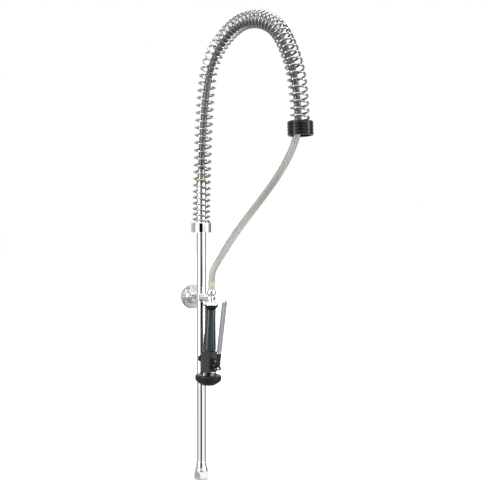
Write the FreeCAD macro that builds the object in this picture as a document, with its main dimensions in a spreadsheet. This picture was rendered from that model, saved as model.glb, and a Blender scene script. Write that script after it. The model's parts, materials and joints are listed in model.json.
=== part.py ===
"""Pre rinse faucet: riser pipe with wall bracket, spring arch, hose and hook-hung spray gun.

The origin is the centre of the coupling nut's mouth, on the riser's axis. +Z is up the riser and +Y
points at the wall, so the user stands on the -Y side. Lengths are in millimetres, angles in degrees.
"""
import FreeCAD
import Part
import Sketcher
import math
import os
import re
from FreeCAD import Placement, Rotation, Vector

doc = FreeCAD.newDocument("pre_rinse_faucet")

# ---------------------------------------------------------------- driving dimensions
SIZES = {
    # coupling nut and inlet
    "nut_flats": 30.0, "nut_height": 17.5, "nut_chamfer": 1.6, "nut_web": 4.7,
    "thread_bore": 24.2, "thread_depth": 8.0, "chamber_bore": 25.0,
    "seat_flange_dia": 24.0, "gasket_thick": 1.7, "seat_flange_thick": 2.2,
    "tail_neck_dia": 19.9, "running_gap": 0.05, "free_gap": 0.4, "contact_gap": 0.02,
    "bell_flare": 4.5, "bell_waist": 1.5, "bell_mouth": 0.8, "bell_lip": 2.0, "bell_height": 21.0,
    "tail_bore": 15.0,
    # riser
    "riser_dia": 22.0, "riser_wall": 1.5, "riser_bottom": 24.0, "riser_top": 664.0,
    # wall bracket and hook
    "bracket_height": 408.0, "clamp_wall": 2.5, "clamp_height": 17.0, "wall_distance": 56.0,
    "boss_reach": 8.0, "boss_wall": 1.0, "edge_break": 1.2,
    "rod_dia": 14.0, "rod_collar_dia": 20.0, "rod_collar_length": 6.0,
    "flange_dia": 56.0, "flange_rim": 3.2, "flange_step_dia": 29.0, "flange_depth": 10.0,
    "stud_dia": 8.0, "stud_neck_dia": 7.0, "stud_shoulder": 2.0, "stud_reach": 28.0, "stud_hold": 16.0,
    "screw_dia": 5.0, "clamp_screw_length": 6.5, "ferrule_screw_length": 11.0, "hex_depth": 2.4,
    "fork_width": 21.0, "fork_thick": 7.6, "fork_slot": 12.6, "fork_lip": 7.5,
    "hook_reach": 58.0, "gun_turn": 20.0, "rest_gap": 0.5,
    # spring and its ends
    "ferrule_wall": 2.5, "ferrule_height": 22.0, "ferrule_floor": 8.0, "ferrule_below_top": 110.0,
    "coil_dia": 41.0, "wire_dia": 4.6, "arch_swing": 17.3,
    "collar_wall": 6.1, "collar_above": 14.0, "collar_below": 17.0, "collar_rib": 2.2,
    "collar_rib_reach": 2.7, "collar_mouth_gap": 1.5, "ridge_depth": 1.5,
    # hose and its upper end
    "hose_dia": 15.0, "hose_bore": 9.0,
    "adaptor_spigot": 26.0, "adaptor_hex": 8.0, "barb_length": 34.0,
    "crimp_dia": 18.0, "crimp_length": 24.0,
    # swivel above the hook
    "ball_dia": 21.6, "ball_drop": 9.15, "ball_top": 16.2, "neck_dia": 10.0, "neck_bore": 6.0,
    "neck_flange_dia": 14.6, "neck_flange_thick": 2.5, "ball_floor": 1.5,
    "lower_crimp_top": 36.5, "lower_crimp_dia": 17.6,
    # gun
    "dome_gap": 0.9, "dome_rise": 0.6, "dome_dia": 34.0, "dome_brim": 1.4, "dome_height": 8.3,
    "flare_height": 11.5,
    "grip_top_dia": 21.6, "grip_base_dia": 29.4, "grip_length": 91.5, "grip_bore": 15.0,
    "tube_dia": 12.0, "tube_bore": 9.0,
    "block_width": 27.0, "block_height": 45.5, "block_round": 3.0, "block_gap": 0.8,
    "cavity_dia": 15.0, "valve_height": 20.0, "bonnet_dia": 17.0, "bonnet_reach": 14.0,
    "bonnet_plug": 4.0, "bonnet_floor": 2.0, "bonnet_neck": 2.2, "bonnet_waist": 2.0,
    "packing_dia": 13.0, "packing_step": 1.5, "packing_reach": 5.0, "packing_screw": 5.5,
    "stem_dia": 4.8, "stem_flange_dia": 12.6, "stem_flange_thick": 2.3, "stem_tail": 2.7,
    "seat_back": 1.0, "washer_dia": 11.8, "washer_thick": 2.1,
    "tube_seat": 6.0, "tube_space": 3.0, "way_dia": 4.0, "way_offset": 4.0, "neck_socket": 8.0,
    "valve_coil_dia": 9.2, "valve_wire_dia": 0.8, "valve_coil_pitch": 1.9,
    "lever_splay": 15.4, "pivot_stand": 15.8, "pivot_height": 10.5, "pivot_dia": 3.2,
    "lever_rise": 154.0, "lever_tail": 4.0, "tongue_width": 6.6, "lever_thick": 2.0,
    "blade_width": 11.2, "blade_low": 37.0, "blade_flange": 4.5,
    "sleeve_top": 34.0, "sleeve_wall": 1.1, "ear_thick": 1.6, "ear_dia": 9.0,
    "plate_thick": 2.0, "plate_height": 14.4, "plate_screw_spread": 7.2, "plate_screw_dia": 2.5,
    "head_gap": 8.3, "bumper_dia": 58.4, "bumper_height": 21.4, "bumper_mouth": 27.0,
    "head_dia": 44.0, "head_neck_dia": 10.0, "head_pin_dia": 3.2, "head_pin_offset": 10.3,
    "head_pin_hold": 5.0,
    "jet_dia": 1.6, "jet_circle": 17.0,
}

sheet = doc.addObject("Spreadsheet::Sheet", "Sizes")
for row, (alias, number) in enumerate(SIZES.items(), start=1):
    sheet.set(f"A{row}", alias)
    sheet.set(f"B{row}", str(number))
    sheet.setAlias(f"B{row}", alias)
doc.recompute()


def size(alias):
    """A driving dimension as a number, read from the sheet."""
    return float(sheet.get(alias))


def bound(text):
    """An expression in the sheet's aliases, as FreeCAD wants it."""
    return re.sub(r"[a-z]\w*", lambda word: "Sizes." + word[0] if word[0] in SIZES else word[0], text)


nodes = []


def keep(piece, label, place=None):
    """Name a finished sub-part and put it in its place."""
    piece.Label = label
    if place is not None:
        piece.Placement = place
    nodes.append(piece)
    return piece


# ---------------------------------------------------------------- derived sizes
BELL = "(riser_dia / 2 + bell_flare)"
CLAMP = "(riser_dia / 2 + clamp_wall)"
FERRULE = "(coil_dia / 2 + free_gap + ferrule_wall)"
COLLAR = "(coil_dia / 2 + free_gap + collar_wall)"
PIVOT_OFFSET = size("block_width") / 2 + size("pivot_stand")


def level(*aliases):
    """Height in the gun's frame, counted down from the fork's top by the lengths passed."""
    total = size("fork_thick") + size("dome_gap") + size("dome_rise")
    return -total - sum(size(alias) for alias in aliases)


BLOCK_TOP_Z = level("dome_height", "flare_height", "grip_length", "block_gap")
VALVE_Z = BLOCK_TOP_Z - size("valve_height")
BLOCK_LOW_Z = BLOCK_TOP_Z - size("block_height")
PIVOT_Z = BLOCK_LOW_Z + size("pivot_height")
HEAD_TOP_Z = BLOCK_LOW_Z - size("head_gap")
RIM_LOW = 10.5


def hanging_lean():
    """The gun leans until its bumper's lower rim rests against the riser, less a small gap."""
    depth, radius = RIM_LOW - HEAD_TOP_Z, size("bumper_dia") / 2
    room = size("hook_reach") - size("riser_dia") / 2 - size("rest_gap")
    return math.degrees(math.asin(room / math.hypot(depth, radius)) - math.atan2(radius, depth))


# ---------------------------------------------------------------- places
UP_TO_FRONT = Rotation(Vector(1, 0, 0), 90)      # turns +Z to -Y
UP_TO_WALL = Rotation(Vector(1, 0, 0), -90)      # turns +Z to +Y
UP_TO_SIDE = Rotation(Vector(0, 1, 0), 90)       # turns +Z to +X


def hang_place(turn=0.0):
    """The gun's frame: origin on its axis level with the fork's top, +Z up its leaning axis."""
    lean = Rotation(Vector(1, 0, 0), hanging_lean())
    base = Vector(0, -size("hook_reach"), size("bracket_height") + size("fork_thick") / 2)
    return Placement(base, lean.multiply(Rotation(Vector(0, 0, 1), turn)))


HANG = hang_place()
GUN = hang_place(size("gun_turn"))


def at(x, y, z, turn=None):
    return Placement(Vector(x, y, z), turn or Rotation())


# ---------------------------------------------------------------- makers
def new_body(name):
    return doc.addObject("PartDesign::Body", name + "_body")


def own_plane(body, role):
    return next(feature for feature in body.Origin.OriginFeatures if feature.Role == role)


def outline(body, role, corners):
    """A closed sketch of straight sides; each corner is a pair of bound expressions."""
    sketch = body.newObject("Sketcher::SketchObject", "outline")
    sketch.AttachmentSupport = [(own_plane(body, role), "")]
    sketch.MapMode = "FlatFace"
    count = len(corners)
    spots = [Vector(30 + 9 * math.cos(math.tau * i / count), 30 + 9 * math.sin(math.tau * i / count), 0)
             for i in range(count)]
    for i in range(count):
        sketch.addGeometry(Part.LineSegment(spots[i], spots[(i + 1) % count]))
    for i in range(count):
        sketch.addConstraint(Sketcher.Constraint("Coincident", i, 2, (i + 1) % count, 1))
    for i, pair in enumerate(corners):
        for kind, start, text in zip(("DistanceX", "DistanceY"), spots[i], pair):
            number = sketch.addConstraint(Sketcher.Constraint(kind, -1, 1, i, 1, start))
            sketch.setExpression(f"Constraints[{number}]", bound(text))
    return sketch


def turned(label, corners, place=None, rounds=()):
    """A piece turned about its own Z from (radius, height) corners; rounds are (corner, radius)."""
    body = new_body(label)
    sketch = outline(body, "XZ_Plane", corners)
    spin = body.newObject("PartDesign::Revolution", "turning")
    spin.Profile = sketch
    spin.ReferenceAxis = (sketch, ["V_Axis"])
    spin.Angle = 360
    last = spin
    if rounds:
        doc.recompute()
    for corner, radius in rounds:
        spot = sketch.Geometry[corner].StartPoint
        names = [f"Edge{i}" for i, edge in enumerate(last.Shape.Edges, start=1)
                 if isinstance(edge.Curve, Part.Circle)
                 and abs(edge.Curve.Radius - spot.x) < 0.01 and abs(edge.Curve.Center.z - spot.y) < 0.01]
        last = add_round(body, last, names, radius)
    return keep(body, label, place)


def add_round(body, base, names, radius):
    fillet = body.newObject("PartDesign::Fillet", "rounding")
    fillet.Base = (base, names)
    fillet.setExpression("Radius", bound(radius))
    doc.recompute()
    return fillet


def primitive(kind, place=None, **sizes):
    """A Part primitive whose properties are bound expressions."""
    solid = doc.addObject("Part::" + kind, kind)
    for name, text in sizes.items():
        solid.setExpression(name, bound(text))
    if place is not None:
        solid.Placement = place
    return solid


def joined(pieces):
    if len(pieces) == 1:
        return pieces[0]
    fuse = doc.addObject("Part::MultiFuse", "joined")
    fuse.Shapes = pieces
    return fuse


def carved(base, tools):
    cut = doc.addObject("Part::Cut", "carved")
    cut.Base = base
    cut.Tool = joined(tools)
    return cut


def shared(base, tool):
    common = doc.addObject("Part::Common", "shared")
    common.Base = base
    common.Tool = tool
    return common


def computed(label, shape):
    """A piece with no feature of its own kind: its shape comes from Part's functions."""
    piece = doc.addObject("Part::Feature", label + "_shape")
    piece.Shape = shape
    return keep(piece, label)


# ---------------------------------------------------------------- inlet, nut and riser
def coupling_nut():
    """Captive hexagon union nut: threaded mouth, chamber for flange and gasket, web above."""
    hexagon = primitive("Prism", Circumradius="nut_flats / (2 * cos(30))", Height="nut_height")
    hexagon.Polygon = 6
    limit = primitive("Cylinder", Radius="nut_flats / (2 * cos(30))", Height="nut_height")
    crown = doc.addObject("Part::Chamfer", "crown")
    crown.Base = limit
    doc.recompute()
    rims = [i for i, edge in enumerate(limit.Shape.Edges, start=1) if isinstance(edge.Curve, Part.Circle)]
    crown.Edges = [(i, size("nut_chamfer"), size("nut_chamfer") * 1.6) for i in rims]
    bores = [
        primitive("Cylinder", Radius="thread_bore / 2", Height="thread_depth"),
        primitive("Cylinder", at(0, 0, size("thread_depth")), Radius="chamber_bore / 2",
                  Height="nut_height - nut_web - thread_depth"),
        primitive("Cylinder", Radius="tail_neck_dia / 2 + running_gap", Height="nut_height"),
    ]
    keep(carved(shared(hexagon, crown), bores), "coupling_nut")


def inlet():
    gasket_low = "thread_depth + free_gap"
    flange_low = f"{gasket_low} + gasket_thick"
    flange_high = f"{flange_low} + seat_flange_thick"
    bell_low = "nut_height + free_gap"
    socket = "riser_dia / 2 + contact_gap"
    turned("inlet_gasket", [("tail_bore / 2", gasket_low), ("seat_flange_dia / 2", gasket_low),
                            ("seat_flange_dia / 2", flange_low), ("tail_bore / 2", flange_low)])
    turned("tailpiece", [
        ("tail_bore / 2", flange_low), ("seat_flange_dia / 2", flange_low),
        ("seat_flange_dia / 2", flange_high), ("tail_neck_dia / 2", flange_high),
        ("tail_neck_dia / 2", bell_low), (BELL, bell_low), (BELL, f"{bell_low} + bell_lip"),
        ("riser_dia / 2 + bell_waist", f"{bell_low} + bell_height * 0.45"),
        ("riser_dia / 2 + bell_mouth", f"{bell_low} + bell_height"), (socket, f"{bell_low} + bell_height"),
        (socket, "riser_bottom"), ("tail_bore / 2", "riser_bottom")],
        rounds=[(5, "bell_lip * 0.4"), (6, "bell_lip * 0.4"), (7, "bell_height * 0.8")])
    turned("riser_pipe", [
        ("riser_dia / 2 - riser_wall", "riser_bottom"), ("riser_dia / 2", "riser_bottom"),
        ("riser_dia / 2", "riser_top"), ("riser_dia / 2 - riser_wall", "riser_top")])


# ---------------------------------------------------------------- wall bracket and hook
def wall_bracket():
    """Ring clamp on the riser, rod to the wall, and a stepped flange that hides the stud."""
    middle = size("bracket_height")
    bore = "riser_dia / 2 + contact_gap"
    ring = turned_ring(CLAMP, "clamp_height", at(0, 0, middle - size("clamp_height") / 2))
    boss = primitive("Cylinder", at(0, size("riser_dia") / 2, middle, UP_TO_WALL),
                     Radius="rod_dia / 2 + boss_wall", Height="boss_reach")
    hole = primitive("Cylinder", at(0, 0, middle - size("clamp_height")), Radius=bore,
                     Height="clamp_height * 2")
    drilled = primitive("Cylinder", at(0, 0, middle, UP_TO_SIDE), Radius="screw_dia / 2",
                        Height="riser_dia + clamp_wall")
    keep(carved(joined([ring, boss]), [hole, drilled]), "riser_clamp")
    set_screw("clamp_screw", at(size("riser_dia") / 2 + size("free_gap"), 0, middle, UP_TO_SIDE),
              "clamp_screw_length")

    rod_start = "riser_dia / 2 + boss_reach + contact_gap"
    rod_end = "wall_distance - flange_depth"
    to_wall = at(0, 0, middle, UP_TO_WALL)
    stud_hole = "stud_neck_dia / 2 + contact_gap"
    deep = "wall_distance - stud_hold"
    turned("bracket_rod", [
        ("0", rod_start), ("rod_dia / 2", rod_start), ("rod_dia / 2", "wall_distance - 1"),
        (stud_hole, "wall_distance - 1"), (stud_hole, deep), ("0", deep)], to_wall)
    collar_low = f"{rod_end} - rod_collar_length"
    ring_bore = "rod_dia / 2 + contact_gap"
    turned("rod_collar", [
        (ring_bore, collar_low), ("rod_collar_dia / 2", collar_low),
        ("rod_collar_dia / 2", f"{rod_end} - contact_gap"), (ring_bore, f"{rod_end} - contact_gap")],
        to_wall, rounds=[(1, "1.4")])
    turned("wall_flange", [
        (ring_bore, rod_end), ("flange_step_dia / 2", rod_end),
        ("flange_step_dia / 2 + 1.5", "wall_distance - flange_rim - 2.6"),
        ("flange_dia / 2 - 3", "wall_distance - flange_rim"),
        ("flange_dia / 2", "wall_distance - flange_rim + 1.2"), ("flange_dia / 2", "wall_distance"),
        (ring_bore, "wall_distance")],
        to_wall, rounds=[(1, "1.8"), (4, "0.9")])
    turned("hanger_stud", [
        ("0", f"{deep} + free_gap"), ("stud_neck_dia / 2", f"{deep} + free_gap"),
        ("stud_neck_dia / 2", "wall_distance + stud_shoulder"),
        ("stud_dia / 2", "wall_distance + stud_shoulder"),
        ("stud_dia / 2", "wall_distance + stud_reach - 1"),
        ("stud_dia / 2 - 1", "wall_distance + stud_reach"), ("0", "wall_distance + stud_reach")], to_wall)


def turned_ring(radius, height, place):
    """A short solid cylinder with both rims broken."""
    disc = primitive("Cylinder", place, Radius=radius, Height=height)
    doc.recompute()
    broken = doc.addObject("Part::Fillet", "broken")
    broken.Base = disc
    rims = [i for i, edge in enumerate(disc.Shape.Edges, start=1) if isinstance(edge.Curve, Part.Circle)]
    broken.Edges = [(i, size("edge_break"), size("edge_break")) for i in rims]
    return broken


def set_screw(label, place, length):
    """Headless screw along +Z of its place, with a hexagon socket in its outer end."""
    shank = primitive("Cylinder", place, Radius="screw_dia / 2 - contact_gap", Height=length)
    deep = place.multiply(at(0, 0, size(length) - size("hex_depth")))
    socket = primitive("Prism", deep, Circumradius="screw_dia * 0.29", Height="hex_depth + 1")
    socket.Polygon = 6
    keep(carved(shank, [socket]), label)


def gun_hook():
    """Fork brazed on the front of the clamp: a flat arm, open in front, whose edges seat the ball."""
    reach = size("hook_reach")
    low = size("bracket_height") - size("fork_thick") / 2
    back = size("riser_dia") / 2 + size("clamp_wall")
    half = size("fork_width") / 2
    arm = primitive("Box", at(-half, -reach - size("fork_lip") + 3, low), Length="fork_width",
                    Width=f"hook_reach + fork_lip - 3 - {CLAMP} + 4", Height="fork_thick")
    nose = primitive("Box", at(-half + 2, -reach - size("fork_lip"), low), Length="fork_width - 4",
                     Width="6", Height="fork_thick")
    pad = primitive("Box", at(-half, -back - 4, size("bracket_height") - size("clamp_height") / 2 + 1),
                    Length="fork_width", Width="10", Height="clamp_height - 2")
    slot_end = primitive("Cylinder", at(0, -reach, low - 1), Radius="fork_slot / 2",
                         Height="fork_thick + 2")
    slot = primitive("Box", at(-size("fork_slot") / 2, -reach - 30, low - 1), Length="fork_slot",
                     Width="30", Height="fork_thick + 2")
    bed = primitive("Cylinder", at(0, 0, size("bracket_height") - 30), Radius=f"{CLAMP} + contact_gap",
                    Height="60")
    keep(carved(joined([arm, nose, pad]), [slot_end, slot, bed]), "gun_hook")


# ---------------------------------------------------------------- centrelines
def heading(angle):
    """Horizontal direction that leaves the riser forwards, swung towards +X by the angle."""
    turn = math.radians(angle)
    return Vector(math.sin(turn), -math.cos(turn), 0)


def bends(points):
    """Straight runs joined by tangent arcs, each as large as 0.45 of its shorter run allows.

    Gives the edges, and for each arc its radius. The same edges serve as a sweep's path.
    """
    edges, radii = [], []
    start = points[0]
    for before, corner, after in zip(points, points[1:], points[2:]):
        inward, outward = corner - before, after - corner
        reach = 0.45 * min(inward.Length, outward.Length)
        inward.normalize()
        outward.normalize()
        half = inward.getAngle(outward) / 2
        first, last = corner - inward * reach, corner + outward * reach
        radius = reach / math.tan(half)
        lift = (outward - inward).normalize() * (radius / math.cos(half) - radius)
        edges.append(Part.LineSegment(start, first).toShape())
        edges.append(Part.Arc(first, corner + lift, last).toShape())
        radii.append(radius)
        start = last
    edges.append(Part.LineSegment(start, points[-1]).toShape())
    return edges, radii


def tube(points, outer, bore=0.0):
    """A round tube along the bends, with its section times its length as a check."""
    edges, radii = bends(points)
    path = Part.Wire(edges)
    along = (points[1] - points[0]).normalize()
    solid = path.makePipe(Part.Face(Part.Wire(Part.makeCircle(outer / 2, points[0], along))))
    area = math.pi * outer ** 2 / 4
    if bore:
        solid = solid.cut(path.makePipe(Part.Face(Part.Wire(Part.makeCircle(bore / 2, points[0], along)))))
        area -= math.pi * bore ** 2 / 4
    if solid.ShapeType != "Solid":
        solid = solid.Solids[0]
    print(f"tube: length {path.Length:.1f}, volume/expected {solid.Volume / area / path.Length:.4f},",
          "radii", [round(radius) for radius in radii])
    return solid


SPRING_SEAT = size("riser_top") - size("ferrule_below_top") + size("ferrule_floor")
FORWARD = heading(size("arch_swing"))

# Corners of the spring's centreline, as (reach from the riser, height above the spring's seat).
ARCH_CORNERS = [(0, 0), (0.4, 75), (14.6, 335), (53, 404), (120, 447), (186, 449),
                (245.5, 423.5), (282, 374.5), (313.5, 295), (317, 204)]
# The hose keeps to the inner side of the spring over the shoulder and at the lower end.
HOSE_CORNERS = [(18, 330), (57, 398), (121, 441), (184, 443), (241, 418.5), (276, 370.5),
                (305.5, 296), (309.5, 238)]


def arch_points(corners, lift=0.0):
    return [FORWARD * reach + Vector(0, 0, SPRING_SEAT + height + lift) for reach, height in corners]


# ---------------------------------------------------------------- spring and its ends
PITCHES = [(0.0, 5.6), (0.03, 11.5), (0.2, 17.0), (0.36, 16.3), (0.48, 14.5), (0.58, 11.3),
           (0.72, 11.5), (0.82, 14.8), (0.97, 14.8), (1.0, 5.6)]
KNOTS_PER_TURN = 6
SPANS = 14


def pitch_at(share):
    """The coil's pitch at a share of its length: straight between the stations."""
    for (low, first), (high, last) in zip(PITCHES, PITCHES[1:]):
        if share <= high:
            return first + (last - first) * (share - low) / (high - low)
    return PITCHES[-1][1]


def coil_knots():
    """Points and directions on the wire's centreline, a fixed number for each turn."""
    edges, _ = bends(arch_points(ARCH_CORNERS))
    lengths = [edge.Length for edge in edges]
    total = sum(lengths)
    side = Vector(0, 0, 1).cross(FORWARD)
    radius = (size("coil_dia") - size("wire_dia")) / 2
    margin = size("wire_dia") / 2 + size("free_gap") / 2
    knots = []
    travel, phase, step = margin, 0.0, math.tau / KNOTS_PER_TURN
    while travel < total - margin:
        index, into = 0, travel
        while into > lengths[index] and index < len(edges) - 1:
            into -= lengths[index]
            index += 1
        edge = edges[index]
        spot = edge.getParameterByLength(into)
        along = edge.tangentAt(spot)
        centre = edge.valueAt(spot)
        normal = side.cross(along)
        pitch = pitch_at(travel / total)
        ring = normal * math.cos(phase) + side * math.sin(phase)
        swing = side * math.cos(phase) - normal * math.sin(phase)
        bend = edge.curvatureAt(spot) if isinstance(edge.Curve, Part.Circle) else 0.0
        lead = along * (pitch / math.tau * (1 + bend * radius * math.cos(phase)))
        knots.append((centre + ring * radius, (swing * radius + lead).normalize()))
        travel += pitch / KNOTS_PER_TURN
        phase -= step
    return knots


def arc_edge(start, corner, end):
    """The arc that touches start-corner at its start and corner-end at its end."""
    middle = (start + end) * 0.5
    cosine = (start - middle).Length / (start - corner).Length
    return Part.Arc(start, middle + (corner - middle) * (cosine / (1 + cosine)), end).toShape()


def biarc(first, last):
    """Two arcs that join a point and direction to the next ones without a kink."""
    start, leaving = first
    end, arriving = last
    chord, lean = end - start, leaving + arriving
    spread = 2 * (1 - leaving.dot(arriving))
    across = chord.dot(lean)
    reach = (math.sqrt(across ** 2 + spread * chord.dot(chord)) - across) / spread
    near, far = start + leaving * reach, end - arriving * reach
    joint = (near + far) * 0.5
    return [arc_edge(start, near, joint), arc_edge(joint, far, end)]


def swept_wire(knots, diameter):
    """A round wire through the knots, each a point and a direction."""
    path = Part.Wire([edge for pair in zip(knots, knots[1:]) for edge in biarc(*pair)])
    section = Part.Wire(Part.makeCircle(diameter / 2, *knots[0]))
    solid = path.makePipe(Part.Face(section))
    return solid if solid.ShapeType == "Solid" else solid.Solids[0]


def spring():
    """Open-wound wire along the arch, cut into spans that meet end to end."""
    knots = [(point, direction * -1) for point, direction in coil_knots()]
    per_span = math.ceil((len(knots) - 1) / SPANS)
    solids = []
    for first in range(0, len(knots) - 1, per_span):
        solids.append(swept_wire(knots[first:first + per_span + 1], size("wire_dia")))
    print("spring:", len(knots) / KNOTS_PER_TURN, "turns,", len(solids), "spans,",
          "valid", all(solid.isValid() for solid in solids))
    computed("spring", Part.makeCompound(solids))


def spring_ends():
    seat = SPRING_SEAT
    floor = "ferrule_floor"
    recess = "coil_dia / 2 + free_gap"
    bore = "riser_dia / 2 + contact_gap"
    base = at(0, 0, seat - size("ferrule_floor"))
    turned("ferrule_blank", [
        (bore, "0"), (FERRULE, "0"), (FERRULE, "ferrule_height"),
        (recess, "ferrule_height"), (recess, floor), (bore, floor)], base,
        rounds=[(1, "0.8"), (2, "1.6")])
    blank = nodes.pop()
    blank.Label = "ferrule_turning"
    screw_level = seat - size("ferrule_floor") / 2
    toward = at(0, 0, screw_level, UP_TO_WALL)
    hole = primitive("Cylinder", toward, Radius="screw_dia / 2", Height="coil_dia")
    keep(carved(blank, [hole]), "spring_ferrule")
    set_screw("ferrule_screw", toward.multiply(at(0, 0, size("riser_dia") / 2 + size("free_gap"))),
              "ferrule_screw_length")

    points = arch_points(ARCH_CORNERS)
    down = (points[-1] - points[-2]).normalize()
    place = Placement(points[-1], Rotation(Vector(0, 0, 1), down))
    rim = COLLAR
    groove = f"{COLLAR} - ridge_depth"
    mouth, rib = "coil_dia / 2 + collar_mouth_gap", "coil_dia / 2 - collar_rib_reach"
    corners = [(recess, "-collar_above"), (groove, "-collar_above")]
    ridge = "((collar_above + collar_below) / 9)"
    for index in range(1, 9):
        level = f"{index} * {ridge} - collar_above"
        sides = (groove, rim) if index % 2 else (rim, groove)
        corners += [(sides[0], f"{level} - 0.35"), (sides[1], f"{level} + 0.35")]
    corners += [(groove, "collar_below"), (mouth, "collar_below"), (mouth, "collar_rib"),
                (rib, "collar_rib"), (rib, "contact_gap"), (recess, "contact_gap")]
    turned("spring_collar", corners, place)


# ---------------------------------------------------------------- hose and its upper end
def hose_adaptor():
    """Brass spigot in the riser's top with a barb for the hose, and a crimped sleeve around it."""
    base = at(0, 0, size("riser_top"))
    spigot = "riser_dia / 2 - riser_wall - contact_gap"
    barb = "hose_bore / 2 - contact_gap"
    hexagon = "adaptor_hex"
    top = "adaptor_hex + barb_length"
    turned("hose_adaptor", [
        ("hose_bore / 2 - 1.6", "-adaptor_spigot"), (spigot, "-adaptor_spigot"),
        (spigot, "-12"), (f"{spigot} - 1.6", "-12"), (f"{spigot} - 1.6", "-9"), (spigot, "-9"),
        (spigot, "contact_gap"), ("riser_dia / 2", "contact_gap"), ("riser_dia / 2", hexagon),
        (barb, hexagon), (barb, top), ("hose_bore / 2 - 1.6", top)], base)
    turned("adaptor_seal", [
        (f"{spigot} - 1.55", "-11.9"), (f"{spigot} - 0.05", "-11.9"), (f"{spigot} - 0.05", "-9.1"),
        (f"{spigot} - 1.55", "-9.1")], base)
    sleeve = "hose_dia / 2 + contact_gap"
    low = "adaptor_hex + contact_gap"
    turned("upper_crimp", [
        (sleeve, low), ("crimp_dia / 2", low), ("crimp_dia / 2", f"{low} + crimp_length"),
        (sleeve, f"{low} + crimp_length")], base,
        rounds=[(1, "0.5"), (2, "0.7")])


def hoses():
    """The hose inside the spring, held all the way, and the stretch that hangs free below it."""
    start = Vector(0, 0, size("riser_top") + size("adaptor_hex") + 1)
    inside = [start, start + Vector(0, 0, 62)] + arch_points(HOSE_CORNERS)
    computed("hose_in_spring", tube(inside, size("hose_dia"), size("hose_bore")))
    leaving = (inside[-1] - inside[-2]).normalize()
    crimp_mouth = size("lower_crimp_top") + size("free_gap")
    route = [inside[-1] + leaving * 0.1, inside[-1] + leaving * 23]
    route += [Vector(*corner) for corner in HOSE_DROP]
    route += [HANG.multVec(Vector(0, 0, crimp_mouth + 19)), HANG.multVec(Vector(0, 0, crimp_mouth))]
    print("hose route", [tuple(round(part, 1) for part in corner) for corner in route])
    computed("hose_drop", tube(route, size("hose_dia")))


# Corners of the free hose's route, from the spring's lower end down to the gun; its first two and
# last two corners follow the hose above it and the swivel's axis.
HOSE_DROP = [(91.2, -293.8, 751), (86.8, -283, 724), (79.3, -263.7, 694), (70, -240, 664),
             (58, -209.5, 631.5), (45.5, -177.5, 599.5), (32.5, -144.5, 567), (21.8, -117, 538.5),
             (14.6, -99.2, 519), (7.9, -83.2, 502), (2.7, -70.8, 486)]


# ---------------------------------------------------------------- swivel above the hook
def hose_end():
    """Crimped tail of the hose, its barb, and the ball that hangs in the fork."""
    chamber = "neck_flange_dia / 2 + running_gap"
    barb = "hose_bore / 2 - contact_gap"
    water = "neck_bore / 2"
    plug_low = "ball_floor + neck_flange_thick + 4.2"
    turned("lower_barb", [
        (water, plug_low), (f"{chamber} - contact_gap", plug_low),
        (f"{chamber} - contact_gap", "ball_top + contact_gap"), ("8.4", "ball_top + contact_gap"),
        ("8.4", "ball_top + 2"), (barb, "ball_top + 2"), (barb, "lower_crimp_top - 3"),
        (water, "lower_crimp_top - 3")], HANG)
    sleeve = "hose_dia / 2 + contact_gap"
    low = "ball_top + 2.1"
    turned("lower_crimp", [
        (sleeve, low), ("lower_crimp_dia / 2", low), ("lower_crimp_dia / 2", "lower_crimp_top"),
        (sleeve, "lower_crimp_top")], HANG, rounds=[(1, "0.5"), (2, "0.5")])
    turned("hose_tail", [
        ("hose_bore / 2", low), ("hose_dia / 2", low), ("hose_dia / 2", "lower_crimp_top - 0.3"),
        ("hose_bore / 2", "lower_crimp_top - 0.3")], HANG)
    ball = primitive("Sphere", at(0, 0, size("ball_drop")), Radius="ball_dia / 2")
    top = primitive("Box", at(-20, -20, size("ball_top")), Length="40", Width="40", Height="20")
    inner = primitive("Cylinder", at(0, 0, size("ball_floor")), Radius=chamber, Height="30")
    throat = primitive("Cylinder", at(0, 0, -10), Radius="neck_dia / 2 + running_gap", Height="30")
    keep(carved(ball, [top, inner, throat]), "swivel_ball", HANG)
    oring = primitive("Torus", Radius1="neck_flange_dia / 2 - 1.5", Radius2="1.3")
    keep(oring, "swivel_oring", HANG.multiply(at(0, 0, size("ball_floor") + size("neck_flange_thick") + 2.2)))


# ---------------------------------------------------------------- gun: levels along its axis
DOME_TOP = "-(fork_thick + dome_gap + dome_rise)"
FLARE_TOP = f"{DOME_TOP} - dome_height"
GRIP_TOP = f"{FLARE_TOP} - flare_height"
BLOCK_TOP = f"{GRIP_TOP} - grip_length - block_gap"


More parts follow.
